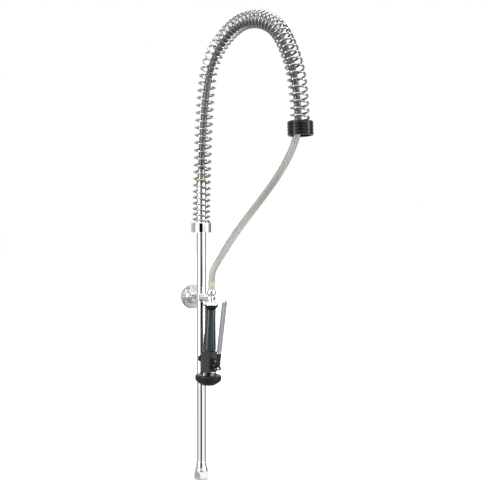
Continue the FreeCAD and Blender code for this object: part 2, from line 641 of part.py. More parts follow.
def gun_handle():
    stem_low = f"{FLARE_TOP} - 4"
    turned("swivel_stem", [
        ("neck_bore / 2", stem_low), ("neck_dia / 2", stem_low),
        ("neck_dia / 2", "ball_floor + 0.2"), ("neck_flange_dia / 2", "ball_floor + 0.2"),
        ("neck_flange_dia / 2", "ball_floor + neck_flange_thick"),
        ("neck_bore / 2", "ball_floor + neck_flange_thick")], GUN)
    sleeve = "neck_dia / 2 + contact_gap"
    turned("neck_dome", [
        (sleeve, FLARE_TOP), ("dome_dia / 2", FLARE_TOP), ("dome_dia / 2", f"{FLARE_TOP} + dome_brim"),
        ("dome_dia / 2 - 6.5", f"{DOME_TOP} - 1.6"), ("neck_dia / 2 + 3", DOME_TOP),
        (sleeve, DOME_TOP)], GUN, rounds=[(3, "9"), (1, "0.6"), (2, "0.9")])
    turned("grip_collar", [
        ("grip_bore / 2", f"{GRIP_TOP} + contact_gap"),
        ("grip_top_dia / 2", f"{GRIP_TOP} + contact_gap"),
        ("grip_top_dia / 2", f"{GRIP_TOP} + 1.2"), ("dome_dia / 2 - 0.4", f"{FLARE_TOP} - 1.8"),
        ("dome_dia / 2 - 0.4", f"{FLARE_TOP} - contact_gap"),
        ("grip_bore / 2", f"{FLARE_TOP} - contact_gap")], GUN, rounds=[(2, "3"), (3, "0.8")])
    base = f"({GRIP_TOP} - grip_length)"
    turned("grip", [
        ("grip_bore / 2", base), ("grip_base_dia / 2 - 1.4", base),
        ("grip_base_dia / 2", f"{base} + 3"), ("grip_top_dia / 2 + 0.5", f"{GRIP_TOP} - 20"),
        ("grip_top_dia / 2", GRIP_TOP), ("grip_bore / 2", GRIP_TOP)], GUN, rounds=[(2, "2.5")])
    turned("water_tube", [
        ("tube_bore / 2", f"{BLOCK_TOP} - tube_seat"), ("tube_dia / 2", f"{BLOCK_TOP} - tube_seat"),
        ("tube_dia / 2", f"{FLARE_TOP} - 0.2"), ("neck_dia / 2 + contact_gap", f"{FLARE_TOP} - 0.2"),
        ("neck_dia / 2 + contact_gap", f"{FLARE_TOP} - 4.2"),
        ("tube_bore / 2", f"{FLARE_TOP} - 4.2")], GUN)


def valve():
    """Square block with the water way down its axis and the valve's bore across it."""
    half = size("block_width") / 2
    body = new_body("valve_body")
    sketch = outline(body, "XY_Plane", [
        ("-block_width / 2", "-block_width / 2"), ("block_width / 2", "-block_width / 2"),
        ("block_width / 2", "block_width / 2"), ("-block_width / 2", "block_width / 2")])
    pad = body.newObject("PartDesign::Pad", "block")
    pad.Profile = sketch
    pad.setExpression("Length", bound("block_height"))
    doc.recompute()
    corners = [f"Edge{i}" for i, edge in enumerate(pad.Shape.Edges, start=1)
               if abs(edge.tangentAt(edge.FirstParameter).z) > 0.99]
    upright = add_round(body, pad, corners, "block_round")
    rims = [f"Edge{i}" for i, edge in enumerate(upright.Shape.Edges, start=1)
            if all(abs(end.Z - size("block_height")) < 0.01 for end in edge.Vertexes)]
    add_round(body, upright, rims, "1.8")
    body.Label = "valve_block_blank"
    body.Placement = at(0, 0, BLOCK_LOW_Z)
    across = at(0, half + 1, VALVE_Z, UP_TO_FRONT)
    tube_floor = BLOCK_TOP_Z - size("tube_seat") - size("tube_space")
    neck_roof = BLOCK_LOW_Z + size("neck_socket")
    offset = size("way_offset")
    bores = [
        primitive("Cylinder", at(0, 0, tube_floor), Radius="tube_dia / 2 + contact_gap",
                  Height="tube_seat + tube_space + 1"),
        primitive("Cylinder", at(0, offset, VALVE_Z), Radius="way_dia / 2",
                  Height="valve_height - tube_seat"),
        primitive("Cylinder", at(0, size("seat_back") - offset, neck_roof - 1), Radius="way_dia / 2",
                  Height=f"{VALVE_Z - neck_roof + 1}"),
        primitive("Cylinder", across, Radius="cavity_dia / 2", Height="block_width / 2 + 1 - seat_back"),
        primitive("Cylinder", across, Radius="packing_dia / 2 - packing_step + contact_gap",
                  Height="block_width + 3"),
        primitive("Cylinder", at(0, 0, BLOCK_LOW_Z - 1), Radius="head_neck_dia / 2 + contact_gap",
                  Height="neck_socket + 1"),
        primitive("Cylinder", at(size("head_pin_offset"), -size("head_pin_offset"), BLOCK_LOW_Z - 1),
                  Radius="head_pin_dia / 2 + contact_gap", Height="head_pin_hold + 1"),
    ]
    keep(carved(body, bores), "valve_body", GUN)

    centre = GUN.multiply(at(0, 0, VALVE_Z, UP_TO_FRONT))
    screw = "packing_dia / 2 - packing_step"
    bore = "stem_dia / 2 + running_gap"
    face = "block_width / 2 + contact_gap"
    turned("packing_nut", [
        (bore, "block_width / 2 - packing_screw"), (screw, "block_width / 2 - packing_screw"),
        (screw, face), ("packing_dia / 2", face), ("packing_dia / 2", "block_width / 2 + packing_reach"),
        (bore, "block_width / 2 + packing_reach")], centre, rounds=[(4, "0.8")])
    cavity = "cavity_dia / 2 - contact_gap"
    pocket = "cavity_dia / 2 - 2"
    back = "-block_width / 2"
    waist = f"{back} - bonnet_reach / 2"
    floor = f"{back} - bonnet_reach + bonnet_floor"
    lobe, neck = "bonnet_dia / 2", "bonnet_dia / 2 - bonnet_waist"
    turned("bonnet_cap", [
        (pocket, f"{back} + bonnet_plug"), (cavity, f"{back} + bonnet_plug"),
        (cavity, f"{back} - contact_gap"), (lobe, f"{back} - contact_gap"),
        (lobe, f"{waist} + bonnet_neck / 2"), (neck, f"{waist} + bonnet_neck / 2"),
        (neck, f"{waist} - bonnet_neck / 2"), (lobe, f"{waist} - bonnet_neck / 2"),
        (lobe, f"{back} - bonnet_reach"), ("0", f"{back} - bonnet_reach"),
        ("0", floor), (pocket, floor)], centre, rounds=[(8, "1.2")])
    washer_front = "-seat_back - running_gap"
    washer_back = f"{washer_front} - washer_thick"
    flange_front = f"{washer_back} - contact_gap"
    flange_back = f"{flange_front} - stem_flange_thick"
    turned("valve_stem", [
        ("0", f"{flange_back} - stem_tail"), ("1.8", f"{flange_back} - stem_tail"),
        ("1.8", flange_back), ("stem_flange_dia / 2", flange_back),
        ("stem_flange_dia / 2", flange_front), ("stem_dia / 2", flange_front),
        ("stem_dia / 2", f"{STEM_TIP:.4f}"), ("0", f"{STEM_TIP:.4f}")], centre, rounds=[(6, "1")])
    turned("seat_washer", [
        ("stem_dia / 2 + contact_gap", washer_back), ("washer_dia / 2", washer_back),
        ("washer_dia / 2", washer_front), ("stem_dia / 2 + contact_gap", washer_front)], centre)

    wire = size("valve_wire_dia")
    flange_level = -(size("seat_back") + size("running_gap") + size("washer_thick")
                     + size("contact_gap") + size("stem_flange_thick"))
    floor_level = -size("block_width") / 2 - size("bonnet_reach") + size("bonnet_floor")
    ends = [level_ + sign * (wire / 2 + size("running_gap"))
            for level_, sign in ((floor_level, 1), (flange_level, -1))]
    count = round((ends[1] - ends[0]) / size("valve_coil_pitch") * KNOTS_PER_TURN)
    radius = (size("valve_coil_dia") - wire) / 2
    rise = (ends[1] - ends[0]) / count
    knots = []
    for index in range(count + 1):
        turn = math.tau * index / KNOTS_PER_TURN
        spot = Vector(radius * math.cos(turn), radius * math.sin(turn), ends[0] + rise * index)
        along = Vector(-radius * math.sin(turn), radius * math.cos(turn), rise * KNOTS_PER_TURN / math.tau)
        knots.append((spot, along.normalize()))
    coil = swept_wire(knots, wire)
    coil.Placement = centre
    computed("valve_spring", coil)


STEM_HEIGHT = VALVE_Z - PIVOT_Z
LEVER_LEAN = math.atan(size("lever_splay") / size("lever_rise"))
STEM_TIP = PIVOT_OFFSET + STEM_HEIGHT * math.tan(LEVER_LEAN) - size("lever_thick") / 2 - 0.4


def lever_set():
    """Bracket on the block's front, pivot pin, leaning lever and the sleeve on its lower half."""
    front = size("block_width") / 2
    pivot = PIVOT_OFFSET
    inner = size("tongue_width") / 2 + size("sleeve_wall") + size("free_gap")
    outer = inner + size("ear_thick")
    plate = primitive("Box", at(-outer, -front - size("plate_thick"), PIVOT_Z - size("plate_height") / 2),
                      Length=f"{2 * outer}", Width="plate_thick", Height="plate_height")
    ears = [primitive("Box", at(x, -pivot, PIVOT_Z - size("ear_dia") / 2), Length="ear_thick",
                      Width=f"{pivot - front}", Height="ear_dia") for x in (-outer, inner)]
    noses = [primitive("Cylinder", at(x, -pivot, PIVOT_Z, UP_TO_SIDE), Radius="ear_dia / 2",
                       Height="ear_thick") for x in (-outer, inner)]
    eyes = primitive("Cylinder", at(-20, -pivot, PIVOT_Z, UP_TO_SIDE), Radius="pivot_dia / 2 + contact_gap",
                     Height="40")
    spread = size("plate_screw_spread") / 2
    holes = [primitive("Cylinder", at(0, -front + 5, z, UP_TO_FRONT),
                       Radius="plate_screw_dia / 2 + contact_gap", Height="10")
             for z in (PIVOT_Z + spread, PIVOT_Z - spread)]
    keep(carved(joined([plate] + ears + noses), [eyes] + holes), "lever_bracket", GUN)
    screws = []
    face = front + size("plate_thick") + size("contact_gap")
    for z in (PIVOT_Z + spread, PIVOT_Z - spread):
        screws.append(primitive("Cylinder", at(0, -face, z, UP_TO_FRONT), Radius="plate_screw_dia - 0.3",
                                Height="1.5"))
        screws.append(primitive("Cylinder", at(0, -front - 0.1, z, UP_TO_FRONT),
                                Radius="plate_screw_dia / 2", Height="plate_thick + 0.5"))
    keep(joined(screws), "bracket_screws", GUN)
    keep(primitive("Cylinder", Radius="pivot_dia / 2", Height=f"{2 * outer + 2}"), "pivot_pin",
         GUN.multiply(at(-outer - 1, -pivot, PIVOT_Z, UP_TO_SIDE)))

    leaning = GUN.multiply(at(0, -pivot, PIVOT_Z, Rotation(Vector(1, 0, 0), math.degrees(LEVER_LEAN))))
    half_wide, half_thick = size("tongue_width") / 2, size("lever_thick") / 2
    edge, low = size("blade_width") / 2, size("blade_low")
    shoulder = size("lever_rise") - edge
    tongue = primitive("Box", at(-half_wide, -half_thick, -size("lever_tail")), Length="tongue_width",
                       Width="lever_thick", Height="lever_tail + blade_low")
    blade = primitive("Box", at(-edge, -half_thick, low), Length="blade_width", Width="lever_thick",
                      Height=f"{shoulder - low}")
    flanges = [primitive("Box", at(x, -half_thick, low), Length="lever_thick", Width="blade_flange",
                         Height=f"{shoulder - low}") for x in (-edge, edge - size("lever_thick"))]
    round_end = primitive("Cylinder", at(0, half_thick, shoulder, UP_TO_FRONT),
                          Radius="blade_width / 2", Height="lever_thick")
    hub = primitive("Cylinder", at(-half_wide, 0, 0, UP_TO_SIDE), Radius="pivot_dia / 2 + 1.5",
                    Height="tongue_width")
    eye = primitive("Cylinder", at(-20, 0, 0, UP_TO_SIDE), Radius="pivot_dia / 2 + running_gap",
                    Height="40")
    keep(carved(joined([tongue, blade, round_end, hub] + flanges), [eye]), "lever", leaning)

    wall = size("sleeve_wall")
    sleeve_low = size("pivot_dia") / 2 + 2.2
    shell = primitive("Box", at(-half_wide - wall, -half_thick - wall, sleeve_low),
                      Length=f"{2 * (half_wide + wall)}", Width=f"{2 * (half_thick + wall)}",
                      Height=f"{size('sleeve_top') - sleeve_low}")
    core = primitive("Box", at(-half_wide - 0.01, -half_thick - 0.01, -10),
                     Length=f"{2 * half_wide + 0.02}", Width=f"{2 * half_thick + 0.02}", Height="100")
    window = primitive("Cylinder", at(0, 0, STEM_HEIGHT / math.cos(LEVER_LEAN), UP_TO_WALL),
                       Radius="stem_dia / 2 + 0.9", Height="10")
    keep(carved(shell, [core, window]), "lever_sleeve", leaning)


def spray_head():
    """Neck under the block, wide head, plate with jets, and the rubber bumper round them."""
    top, height = HEAD_TOP_Z, size("bumper_height")
    neck = "head_neck_dia / 2"
    place = GUN.multiply(at(0, 0, top))
    gap = "head_gap"
    turned("spray_head", [
        ("3", f"{gap} + 7"), ("3", "-8"), ("head_dia / 2 - 8", "-bumper_height + 6"),
        ("head_dia / 2 - 6", "-bumper_height + 6"), ("head_dia / 2", "-9"), ("head_dia / 2", "-3"),
        ("head_dia / 2 - 5", "0.4"), (neck, "0.4"), (neck, f"{gap} + 7")], rounds=[(6, "1.5")])
    blank = nodes.pop()
    blank.Label = "head_turning"
    spot = size("head_pin_offset")
    pin_hole = primitive("Cylinder", at(spot, -spot, -3), Radius="head_pin_dia / 2 + contact_gap",
                         Height="4")
    keep(carved(blank, [pin_hole]), "spray_head", place)
    spin = primitive("Cylinder", at(0, 0, -height + 2.5), Radius="bumper_mouth / 2 + 1.5", Height="3.48")
    jets = [primitive("Cylinder", at(size("jet_circle") / 2 * math.cos(turn),
                                     size("jet_circle") / 2 * math.sin(turn), -height - 1),
                      Radius="jet_dia / 2", Height="10")
            for turn in [math.tau * i / 10 for i in range(10)]]
    jets += [primitive("Cylinder", at(4 * math.cos(turn), 4 * math.sin(turn), -height - 1),
                       Radius="jet_dia / 2", Height="10") for turn in [math.tau * i / 5 for i in range(5)]]
    keep(carved(spin, jets), "nozzle_plate", place)
    rim = "bumper_dia / 2"
    shell = "head_dia / 2 + 0.05"
    turned("bumper", [
        (f"{shell} - 3.2", "0.35"), (f"{rim} - 3.5", "0.35"), (rim, "-1.5"), (rim, f"-{RIM_LOW}"),
        (f"{rim} - 4.2", "-15"), (f"{rim} - 13.7", "-bumper_height"),
        ("bumper_mouth / 2", "-bumper_height"), ("bumper_mouth / 2", "-bumper_height + 2.5"),
        ("head_dia / 2 - 5.9", "-bumper_height + 2.5"), ("head_dia / 2 - 5.9", "-bumper_height + 5.9"),
        (shell, "-9.05"), (shell, "-2.9")], place,
        rounds=[(1, "1.5"), (2, "3"), (3, "4"), (4, "7"), (5, "3")])
    pin = primitive("Cylinder", Radius="head_pin_dia / 2", Height="head_gap + 6.8")
    keep(pin, "head_pin", GUN.multiply(at(spot, -spot, top - 2.9)))


# ---------------------------------------------------------------- build
coupling_nut()
inlet()
wall_bracket()
gun_hook()
hose_adaptor()
spring_ends()
spring()
hoses()
hose_end()
gun_handle()
valve()
lever_set()
spray_head()
doc.recompute()

failed = [(thing.Label, [user.Label for user in thing.InList]) for thing in doc.Objects
          if {"Invalid", "Error"} & set(thing.State)]
broken = [node.Label for node in nodes if node.Shape.isNull() or not node.Shape.isValid()]
if failed or broken:
    raise SystemExit(f"failed objects {failed}, broken shapes {broken}")

os.makedirs("parts", exist_ok=True)
for node in nodes:
    node.Shape.exportStep(f"parts/{node.Label}.step")
    print(f"{node.Label:16s} solids {len(node.Shape.Solids)}, volume {node.Shape.Volume / 1000:8.2f} cm3")
print(len(nodes), "nodes; stem height", round(STEM_HEIGHT, 3), "lean", round(math.degrees(LEVER_LEAN), 3))
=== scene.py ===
# %% [markdown]
# # The looks of a pre rinse faucet
# A pre rinse faucet is a tall chromed pipe with a big open spring on top. The spring holds up a hose,
# and the hose ends in a spray gun that hangs from a fork on the pipe. The solid model gives every
# piece its size and place. This lesson gives the pieces their finish, and makes again, as smooth
# surfaces, those that a mirror finish or a soft material would otherwise show as facets.
#
# Everything is in metres, with Z up the pipe and Y towards the wall.

# %% Loading the solid model
import json
import math
import bmesh
import bpy
import numpy as np
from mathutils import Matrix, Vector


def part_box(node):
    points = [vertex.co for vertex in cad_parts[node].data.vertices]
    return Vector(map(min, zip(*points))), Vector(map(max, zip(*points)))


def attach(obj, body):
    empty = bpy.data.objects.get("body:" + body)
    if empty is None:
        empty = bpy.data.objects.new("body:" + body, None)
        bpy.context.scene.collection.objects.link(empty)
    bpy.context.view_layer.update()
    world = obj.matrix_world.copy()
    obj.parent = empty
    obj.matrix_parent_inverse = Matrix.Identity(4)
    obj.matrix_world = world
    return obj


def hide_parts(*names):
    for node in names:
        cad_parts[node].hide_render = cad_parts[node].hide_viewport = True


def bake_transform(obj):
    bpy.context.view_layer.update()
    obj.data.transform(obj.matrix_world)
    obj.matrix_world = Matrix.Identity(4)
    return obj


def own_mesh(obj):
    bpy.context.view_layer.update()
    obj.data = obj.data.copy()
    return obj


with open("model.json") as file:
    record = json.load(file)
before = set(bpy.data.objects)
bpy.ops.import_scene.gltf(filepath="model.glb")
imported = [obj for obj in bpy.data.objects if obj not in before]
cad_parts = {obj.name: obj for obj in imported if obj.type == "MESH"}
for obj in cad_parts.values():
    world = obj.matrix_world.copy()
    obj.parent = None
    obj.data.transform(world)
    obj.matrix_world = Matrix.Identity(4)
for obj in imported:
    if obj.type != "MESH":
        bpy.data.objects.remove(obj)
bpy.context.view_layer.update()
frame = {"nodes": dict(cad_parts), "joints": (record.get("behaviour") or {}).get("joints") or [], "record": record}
nodes = frame["nodes"]
joints = {joint["name"]: joint for joint in frame["joints"]}
mounts = {mount["name"]: mount for mount in frame["record"]["mounts"]}
MM = 0.001


# %% [markdown]
# ## Places
# A turned piece is easiest to draw on its own axis and then to lay where it belongs. A place is an
# origin and three axes, kept as the columns of a matrix. The pipe's place is the model's own. The
# gun's comes from the solid model's joints: it turns about its own length, and the lever's pin
# gives the sideways direction.

# %% Places
class Place:
    """An origin and three perpendicular axes; the third is the piece's own length."""

    def __init__(self, origin, up, side=(1, 0, 0)):
        self.origin = np.array(origin, float)
        up = np.array(up, float) / np.linalg.norm(up)
        side = np.array(side, float) - np.dot(side, up) * up
        side /= np.linalg.norm(side)
        self.axes = np.column_stack([side, np.cross(up, side), up])

    def world(self, points):
        """origin + axes times each local point."""
        return self.origin + np.asarray(points, float) @ self.axes.T


RISER = Place((0, 0, 0), (0, 0, 1))
WALL = Place((0, 0, mounts["wall_stud"]["pos_m"][2]), (0, 1, 0))
swivel = joints["gun_swivel"]
HANG = Place(swivel["pos_m"], swivel["axis"])
GUN = Place(swivel["pos_m"], swivel["axis"], -np.array(joints["lever_press"]["axis"]))
print("gun leans", round(math.degrees(math.acos(GUN.axes[2, 2])), 2), "degrees")


# %% [markdown]
# ## Surfaces from grids
# Nearly every new piece is a grid of points: so many round the piece, so many along it. One
# function turns a grid into a mesh. It makes the faces with whole-array arithmetic, gives each
# corner a UV, and closes the seams where the grid runs into itself.

# %% A mesh from a grid
def smooth(piece, angle=35):
    """Shade smoothly, but keep edges sharper than the angle crisp."""
    mesh = piece.data
    mesh.polygons.foreach_set("use_smooth", np.ones(len(mesh.polygons), bool))
    mesh.set_sharp_from_angle(angle=math.radians(angle))
    return piece


def link(name, mesh):
    piece = bpy.data.objects.new(name, mesh)
    bpy.context.scene.collection.objects.link(piece)
    return piece


def close_up(mesh, gap=1e-7):
    """Merge points that coincide, as at a seam or a pole, and face everything outwards."""
    work = bmesh.new()
    work.from_mesh(mesh)
    bmesh.ops.remove_doubles(work, verts=work.verts, dist=gap)
    bmesh.ops.dissolve_degenerate(work, edges=work.edges, dist=gap)
    bmesh.ops.recalc_face_normals(work, faces=work.faces)
    work.to_mesh(mesh)
    work.free()
    mesh.update()


def grid_piece(name, points, loop_u=False, loop_v=False, uv=None, angle=35):
    """A surface through a (U, V, 3) array of points; loop_u and loop_v join its ends.

    Face (i, j) has the corners (i, j), (i+1, j), (i+1, j+1), (i, j+1), counted round the loops.
    """
    rows, columns = points.shape[:2]
    i, j = np.meshgrid(np.arange(rows - (not loop_u)), np.arange(columns - (not loop_v)), indexing="ij")
    i, j = i.ravel(), j.ravel()
    corners = [(i, j), (i + 1, j), (i + 1, j + 1), (i, j + 1)]
    faces = np.column_stack([(a % rows) * columns + b % columns for a, b in corners])
    mesh = bpy.data.meshes.new(name)
    mesh.from_pydata(points.reshape(-1, 3), [], faces.tolist())
    scale_u, scale_v = uv or (1 / rows, 1 / columns)
    flat = np.stack([np.column_stack([a * scale_u, b * scale_v]) for a, b in corners], axis=1)
    mesh.uv_layers.new(name="UVMap").data.foreach_set("uv", flat.ravel())
    close_up(mesh)
    return smooth(link(name, mesh), angle)


# %% [markdown]
# A turned piece is a profile carried round an axis. Real edges are never perfectly sharp, and on
# chrome it is the small rounded edges that catch the light, so each corner of a profile can be
# traded for an arc.

# %% Profiles and turned pieces
def rounded(corners, steps=7):
    """Corners (x, y) or (x, y, radius) as a line whose corners are arcs of that radius.

    An arc starts and ends at radius * tan(turn / 2) from its corner, and its points lie on the
    quadratic curve through those two with the corner as its control, which is close to round.
    """
    spots = np.array([corner[:2] for corner in corners], float)
    radii = [corner[2] if len(corner) > 2 else 0.0 for corner in corners]
    line = []
    for index, radius in enumerate(radii):
        if radius == 0 or index in (0, len(radii) - 1):
            line.append(spots[index][None])
            continue
        back, ahead = spots[index - 1] - spots[index], spots[index + 1] - spots[index]
        lengths = np.linalg.norm(back), np.linalg.norm(ahead)
        back, ahead = back / lengths[0], ahead / lengths[1]
        turn = math.pi - math.acos(np.clip(back @ ahead, -1, 1))
        cut = min(radius * math.tan(turn / 2), 0.49 * min(lengths))
        start, end = spots[index] + back * cut, spots[index] + ahead * cut
        share = np.linspace(0, 1, steps)[:, None]
        weight = math.cos(turn / 2)
        blend = (1 - share) ** 2, 2 * share * (1 - share) * weight, share ** 2
        line.append((blend[0] * start + blend[1] * spots[index] + blend[2] * end) / sum(blend))
    return np.vstack(line)


def turned(name, corners, place, slices=96, angle=35):
    """Carry the profile (radius, height) round the place's axis: (r cos a, r sin a, z)."""
    profile = rounded(corners)
    turn = np.linspace(0, math.tau, slices, endpoint=False)[:, None]
    ring = [profile[:, 0] * np.cos(turn), profile[:, 0] * np.sin(turn), np.tile(profile[:, 1], (slices, 1))]
    return grid_piece(name, place.world(np.stack(ring, axis=-1)), loop_u=True, angle=angle)


# %% [markdown]
# ## Carrying a section along a path
# The big spring's wire, the small return spring and the hose are all a round section carried along
# a path. At each station two directions square to the path hold the section. They are passed from
# one station to the next with as little turning as possible, so the surface doesn't twist.

# %% Sweeps
def headings(path):
    """Unit directions along a path, by central differences."""
    step = np.gradient(path, axis=0)
    return step / np.linalg.norm(step, axis=1)[:, None]


def carried(path, first):
    """Two directions square to the path at each station, starting from the first one given."""
    along = headings(path)
    sides = np.empty_like(along)
    held = np.array(first, float)
    for index, direction in enumerate(along):
        held = held - direction * (held @ direction)
        held /= np.linalg.norm(held)
        sides[index] = held
    return sides, np.cross(along, sides)


def lengths_along(path):
    return np.concatenate([[0], np.cumsum(np.linalg.norm(np.diff(path, axis=0), axis=1))])


def swept(name, path, radius, sides, slices, uv=(1, 1)):
    """A round section carried along: path + radius (cos a * side + sin a * across).

    The section closes to a point at both ends.
    """
    first, second = sides
    turn = np.linspace(0, math.tau, slices, endpoint=False)
    ring = np.cos(turn)[None, :, None] * first[:, None] + np.sin(turn)[None, :, None] * second[:, None]
    caps = [np.repeat(path[index][None, None], slices, axis=1) for index in (0, -1)]
    points = np.concatenate([caps[0], path[:, None] + ring * radius, caps[1]])
    return grid_piece(name, points, loop_v=True, uv=(uv[0], uv[1] / slices), angle=60)


# %% [markdown]
# A hose bends in one smooth line. Its route is a short list of points, used as the control points
# of a NURBS curve of the second degree, which cuts inside each corner and starts and ends exactly
# at the route's ends. Reading the curve back as a mesh gives the closely spaced points that the
# tube follows.

# %% Smooth routes
def route_curve(name, points, steps=16):
    data = bpy.data.curves.new(name, "CURVE")
    data.dimensions = "3D"
    data.resolution_u = steps
    spline = data.splines.new("NURBS")
    spline.points.add(len(points) - 1)
    flat = np.column_stack([points, np.ones(len(points))])
    spline.points.foreach_set("co", flat.ravel())
    spline.order_u = 3
    spline.use_endpoint_u = True
    return data


def smooth_route(points, spacing):
    """Evenly spaced points on the NURBS curve through a route."""
    data = route_curve("route", np.asarray(points, float))
    holder = bpy.data.objects.new("route", data)
    line = bpy.data.meshes.new_from_object(holder)
    raw = np.empty(len(line.vertices) * 3)
    line.vertices.foreach_get("co", raw)
    raw = raw.reshape(-1, 3)
    bpy.data.objects.remove(holder)
    bpy.data.curves.remove(data)
    bpy.data.meshes.remove(line)
    run = lengths_along(raw)
    count = max(2, round(run[-1] / spacing))
    even = np.linspace(0, run[-1], count + 1)
    return np.column_stack([np.interp(even, run, raw[:, axis]) for axis in range(3)])


# %% [markdown]
# ## Camera and light
# A product shot of chrome is mostly a picture of the room. The faucet stands in an even white
# surround. A narrow black card behind the camera draws the thin dark line down the middle of every
# round bar, and grey cards at the sides give the bars soft grey edges, so that white metal stands
# off a white ground. The cards are seen only in reflections.

# %% Camera
VIEW_AZIMUTH = math.radians(-24.5)
EYE = (-0.9482, -2.3153, 0.527)
SENSOR = 36.0
LENS = 81.7

camera = bpy.data.objects.new("camera", bpy.data.cameras.new("camera"))
bpy.context.scene.collection.objects.link(camera)
camera.data.sensor_width = SENSOR
camera.data.lens = LENS
camera.location = EYE
camera.rotation_euler = (math.radians(90), 0, VIEW_AZIMUTH)
bpy.context.scene.camera = camera
print("camera:", LENS, "mm lens,", round(math.hypot(*EYE[:2]), 2), "m from the pipe")

# %% The room that chrome reflects
scene = bpy.context.scene
scene.view_settings.view_transform = "Standard"
world = bpy.data.worlds.new("studio")
scene.world = world
world.use_nodes = True
room = world.node_tree

# Brightness by bearing from the camera, in degrees to the right, at the height of the eye.
BEARINGS = [(-180, 1.0), (-143, 1.0), (-140, 0.5), (-114, 0.47), (-112, 0.8), (-108, 0.8), (-106, 0.42),
            (-66, 0.42), (-60, 1.0), (-20, 1.0), (-16, 0.0), (16, 0.0), (20, 1.0), (82, 1.0), (84, 0.38),
            (96, 0.38), (98, 1.0), (101, 1.0), (103, 0.1), (137, 0.1), (140, 1.0), (180, 1.0)]
# Brightness by the sine of the angle above the eye, and how far it takes over from the bearings.
HEIGHTS = [(-1.0, 0.25), (-0.7, 0.3), (-0.45, 0.75), (0.45, 0.9), (1.0, 1.0)]
TAKEOVER = [(-1.0, 1.0), (-0.42, 1.0), (-0.26, 0.0), (0.34, 0.0), (0.6, 1.0), (1.0, 1.0)]


def room_node(kind, **settings):
    node = room.nodes.new("ShaderNode" + kind)
    for key, value in settings.items():
        setattr(node, key, value)
    return node


def ramp(stations, low, high, value):
    """A colour ramp through (place, brightness) stations; value is spread from low..high to 0..1."""
    spread = room_node("MapRange")
    spread.inputs["From Min"].default_value, spread.inputs["From Max"].default_value = low, high
    room.links.new(value, spread.inputs["Value"])
    node = room_node("ValToRGB")
    node.color_ramp.interpolation = "LINEAR"
    while len(node.color_ramp.elements) < len(stations):
        node.color_ramp.elements.new(0.5)
    for element, (place, brightness) in zip(node.color_ramp.elements, stations):
        element.position = (place - low) / (high - low)
        element.color = (brightness, brightness, brightness, 1)
    room.links.new(spread.outputs["Result"], node.inputs["Fac"])
    return node.outputs["Color"]


# %% [markdown]
# The room could be modelled as walls and cards, but a few nodes do the same and need no geometry.
# Each direction is turned to count from the camera, its bearing and its height each pick a
# brightness, and whatever the camera sees directly stays plain white.

# %% The room's nodes
direction = room_node("TexCoord")
facing = room_node("VectorRotate", rotation_type="Z_AXIS")
facing.inputs["Angle"].default_value = -VIEW_AZIMUTH
room.links.new(direction.outputs["Generated"], facing.inputs["Vector"])
parts = room_node("SeparateXYZ")
room.links.new(facing.outputs["Vector"], parts.inputs["Vector"])
back = room_node("Math", operation="MULTIPLY")
back.inputs[1].default_value = -1.0
room.links.new(parts.outputs["Y"], back.inputs[0])
bearing = room_node("Math", operation="ARCTAN2")
room.links.new(parts.outputs["X"], bearing.inputs[0])
room.links.new(back.outputs[0], bearing.inputs[1])
degrees = room_node("Math", operation="MULTIPLY")
degrees.inputs[1].default_value = 180 / math.pi
room.links.new(bearing.outputs[0], degrees.inputs[0])
level = ramp(BEARINGS, -180, 180, degrees.outputs[0])
above = ramp(HEIGHTS, -1, 1, parts.outputs["Z"])
share = ramp(TAKEOVER, -1, 1, parts.outputs["Z"])
walls = room_node("Mix", data_type="RGBA")
walls_inputs = [socket for socket in walls.inputs if socket.type == "RGBA"]
room.links.new(share, walls.inputs["Factor"])
room.links.new(level, walls_inputs[0])
room.links.new(above, walls_inputs[1])
room_light = room.nodes["Background"]
room.links.new(next(o for o in walls.outputs if o.type == "RGBA"), room_light.inputs["Color"])

backdrop = room_node("Background")
seen = room_node("LightPath")
choice = room_node("MixShader")
backdrop.inputs["Color"].default_value = (1, 1, 1, 1)
room.links.new(seen.outputs["Is Camera Ray"], choice.inputs["Fac"])
room.links.new(room_light.outputs[0], choice.inputs[1])
room.links.new(backdrop.outputs[0], choice.inputs[2])
room.links.new(choice.outputs[0], room.nodes["World Output"].inputs["Surface"])
print("room:", len(BEARINGS), "stations round,", len(HEIGHTS), "up")

# %% [markdown]
# The chrome only shows the room, but plastic and rubber need lamps to show their shape. Two tall soft
# boxes stand at the sides, and one broad light from above fills in the rest.

# %% Lamps
AIM = np.array([0.05, -0.10, 0.50])
BOX_WIDE, BOX_TALL, BOX_HEIGHT, BOX_POWER, BOX_DISTANCE = 0.35, 1.9, 0.9, 22, 2.2
CEILING_STRENGTH, CEILING_SPREAD = 2.4, math.radians(50)


def around(azimuth, distance, height):
    """A point at a bearing from the camera's own, seen from the pipe."""
    angle = VIEW_AZIMUTH + math.radians(azimuth)
    return np.array([distance * math.sin(angle), -distance * math.cos(angle), height])


def soft_box(name, azimuth):
    """A tall, narrow lamp that faces the faucet's middle."""
    light = bpy.data.lights.new(name, "AREA")
    light.shape = "RECTANGLE"
    light.size, light.size_y = BOX_WIDE, BOX_TALL
    light.energy = BOX_POWER
    holder = bpy.data.objects.new(name, light)
    bpy.context.scene.collection.objects.link(holder)
    spot = around(azimuth, BOX_DISTANCE, BOX_HEIGHT)
    holder.location = spot
    holder.rotation_euler = Vector(AIM - spot).to_track_quat("-Z", "Y").to_euler()


soft_box("left_box", -50)
soft_box("right_box", 72)
sun = bpy.data.lights.new("ceiling", "SUN")
sun.energy = CEILING_STRENGTH
sun.angle = CEILING_SPREAD
ceiling = bpy.data.objects.new("ceiling", sun)
bpy.context.scene.collection.objects.link(ceiling)
print("lamps:", ", ".join(light.name for light in bpy.data.lights))

# %% [markdown]
# The floor is a sheet of white paper just below the pipe's foot. It is kept out of the reflections,
# so that the chrome shows the room there too.

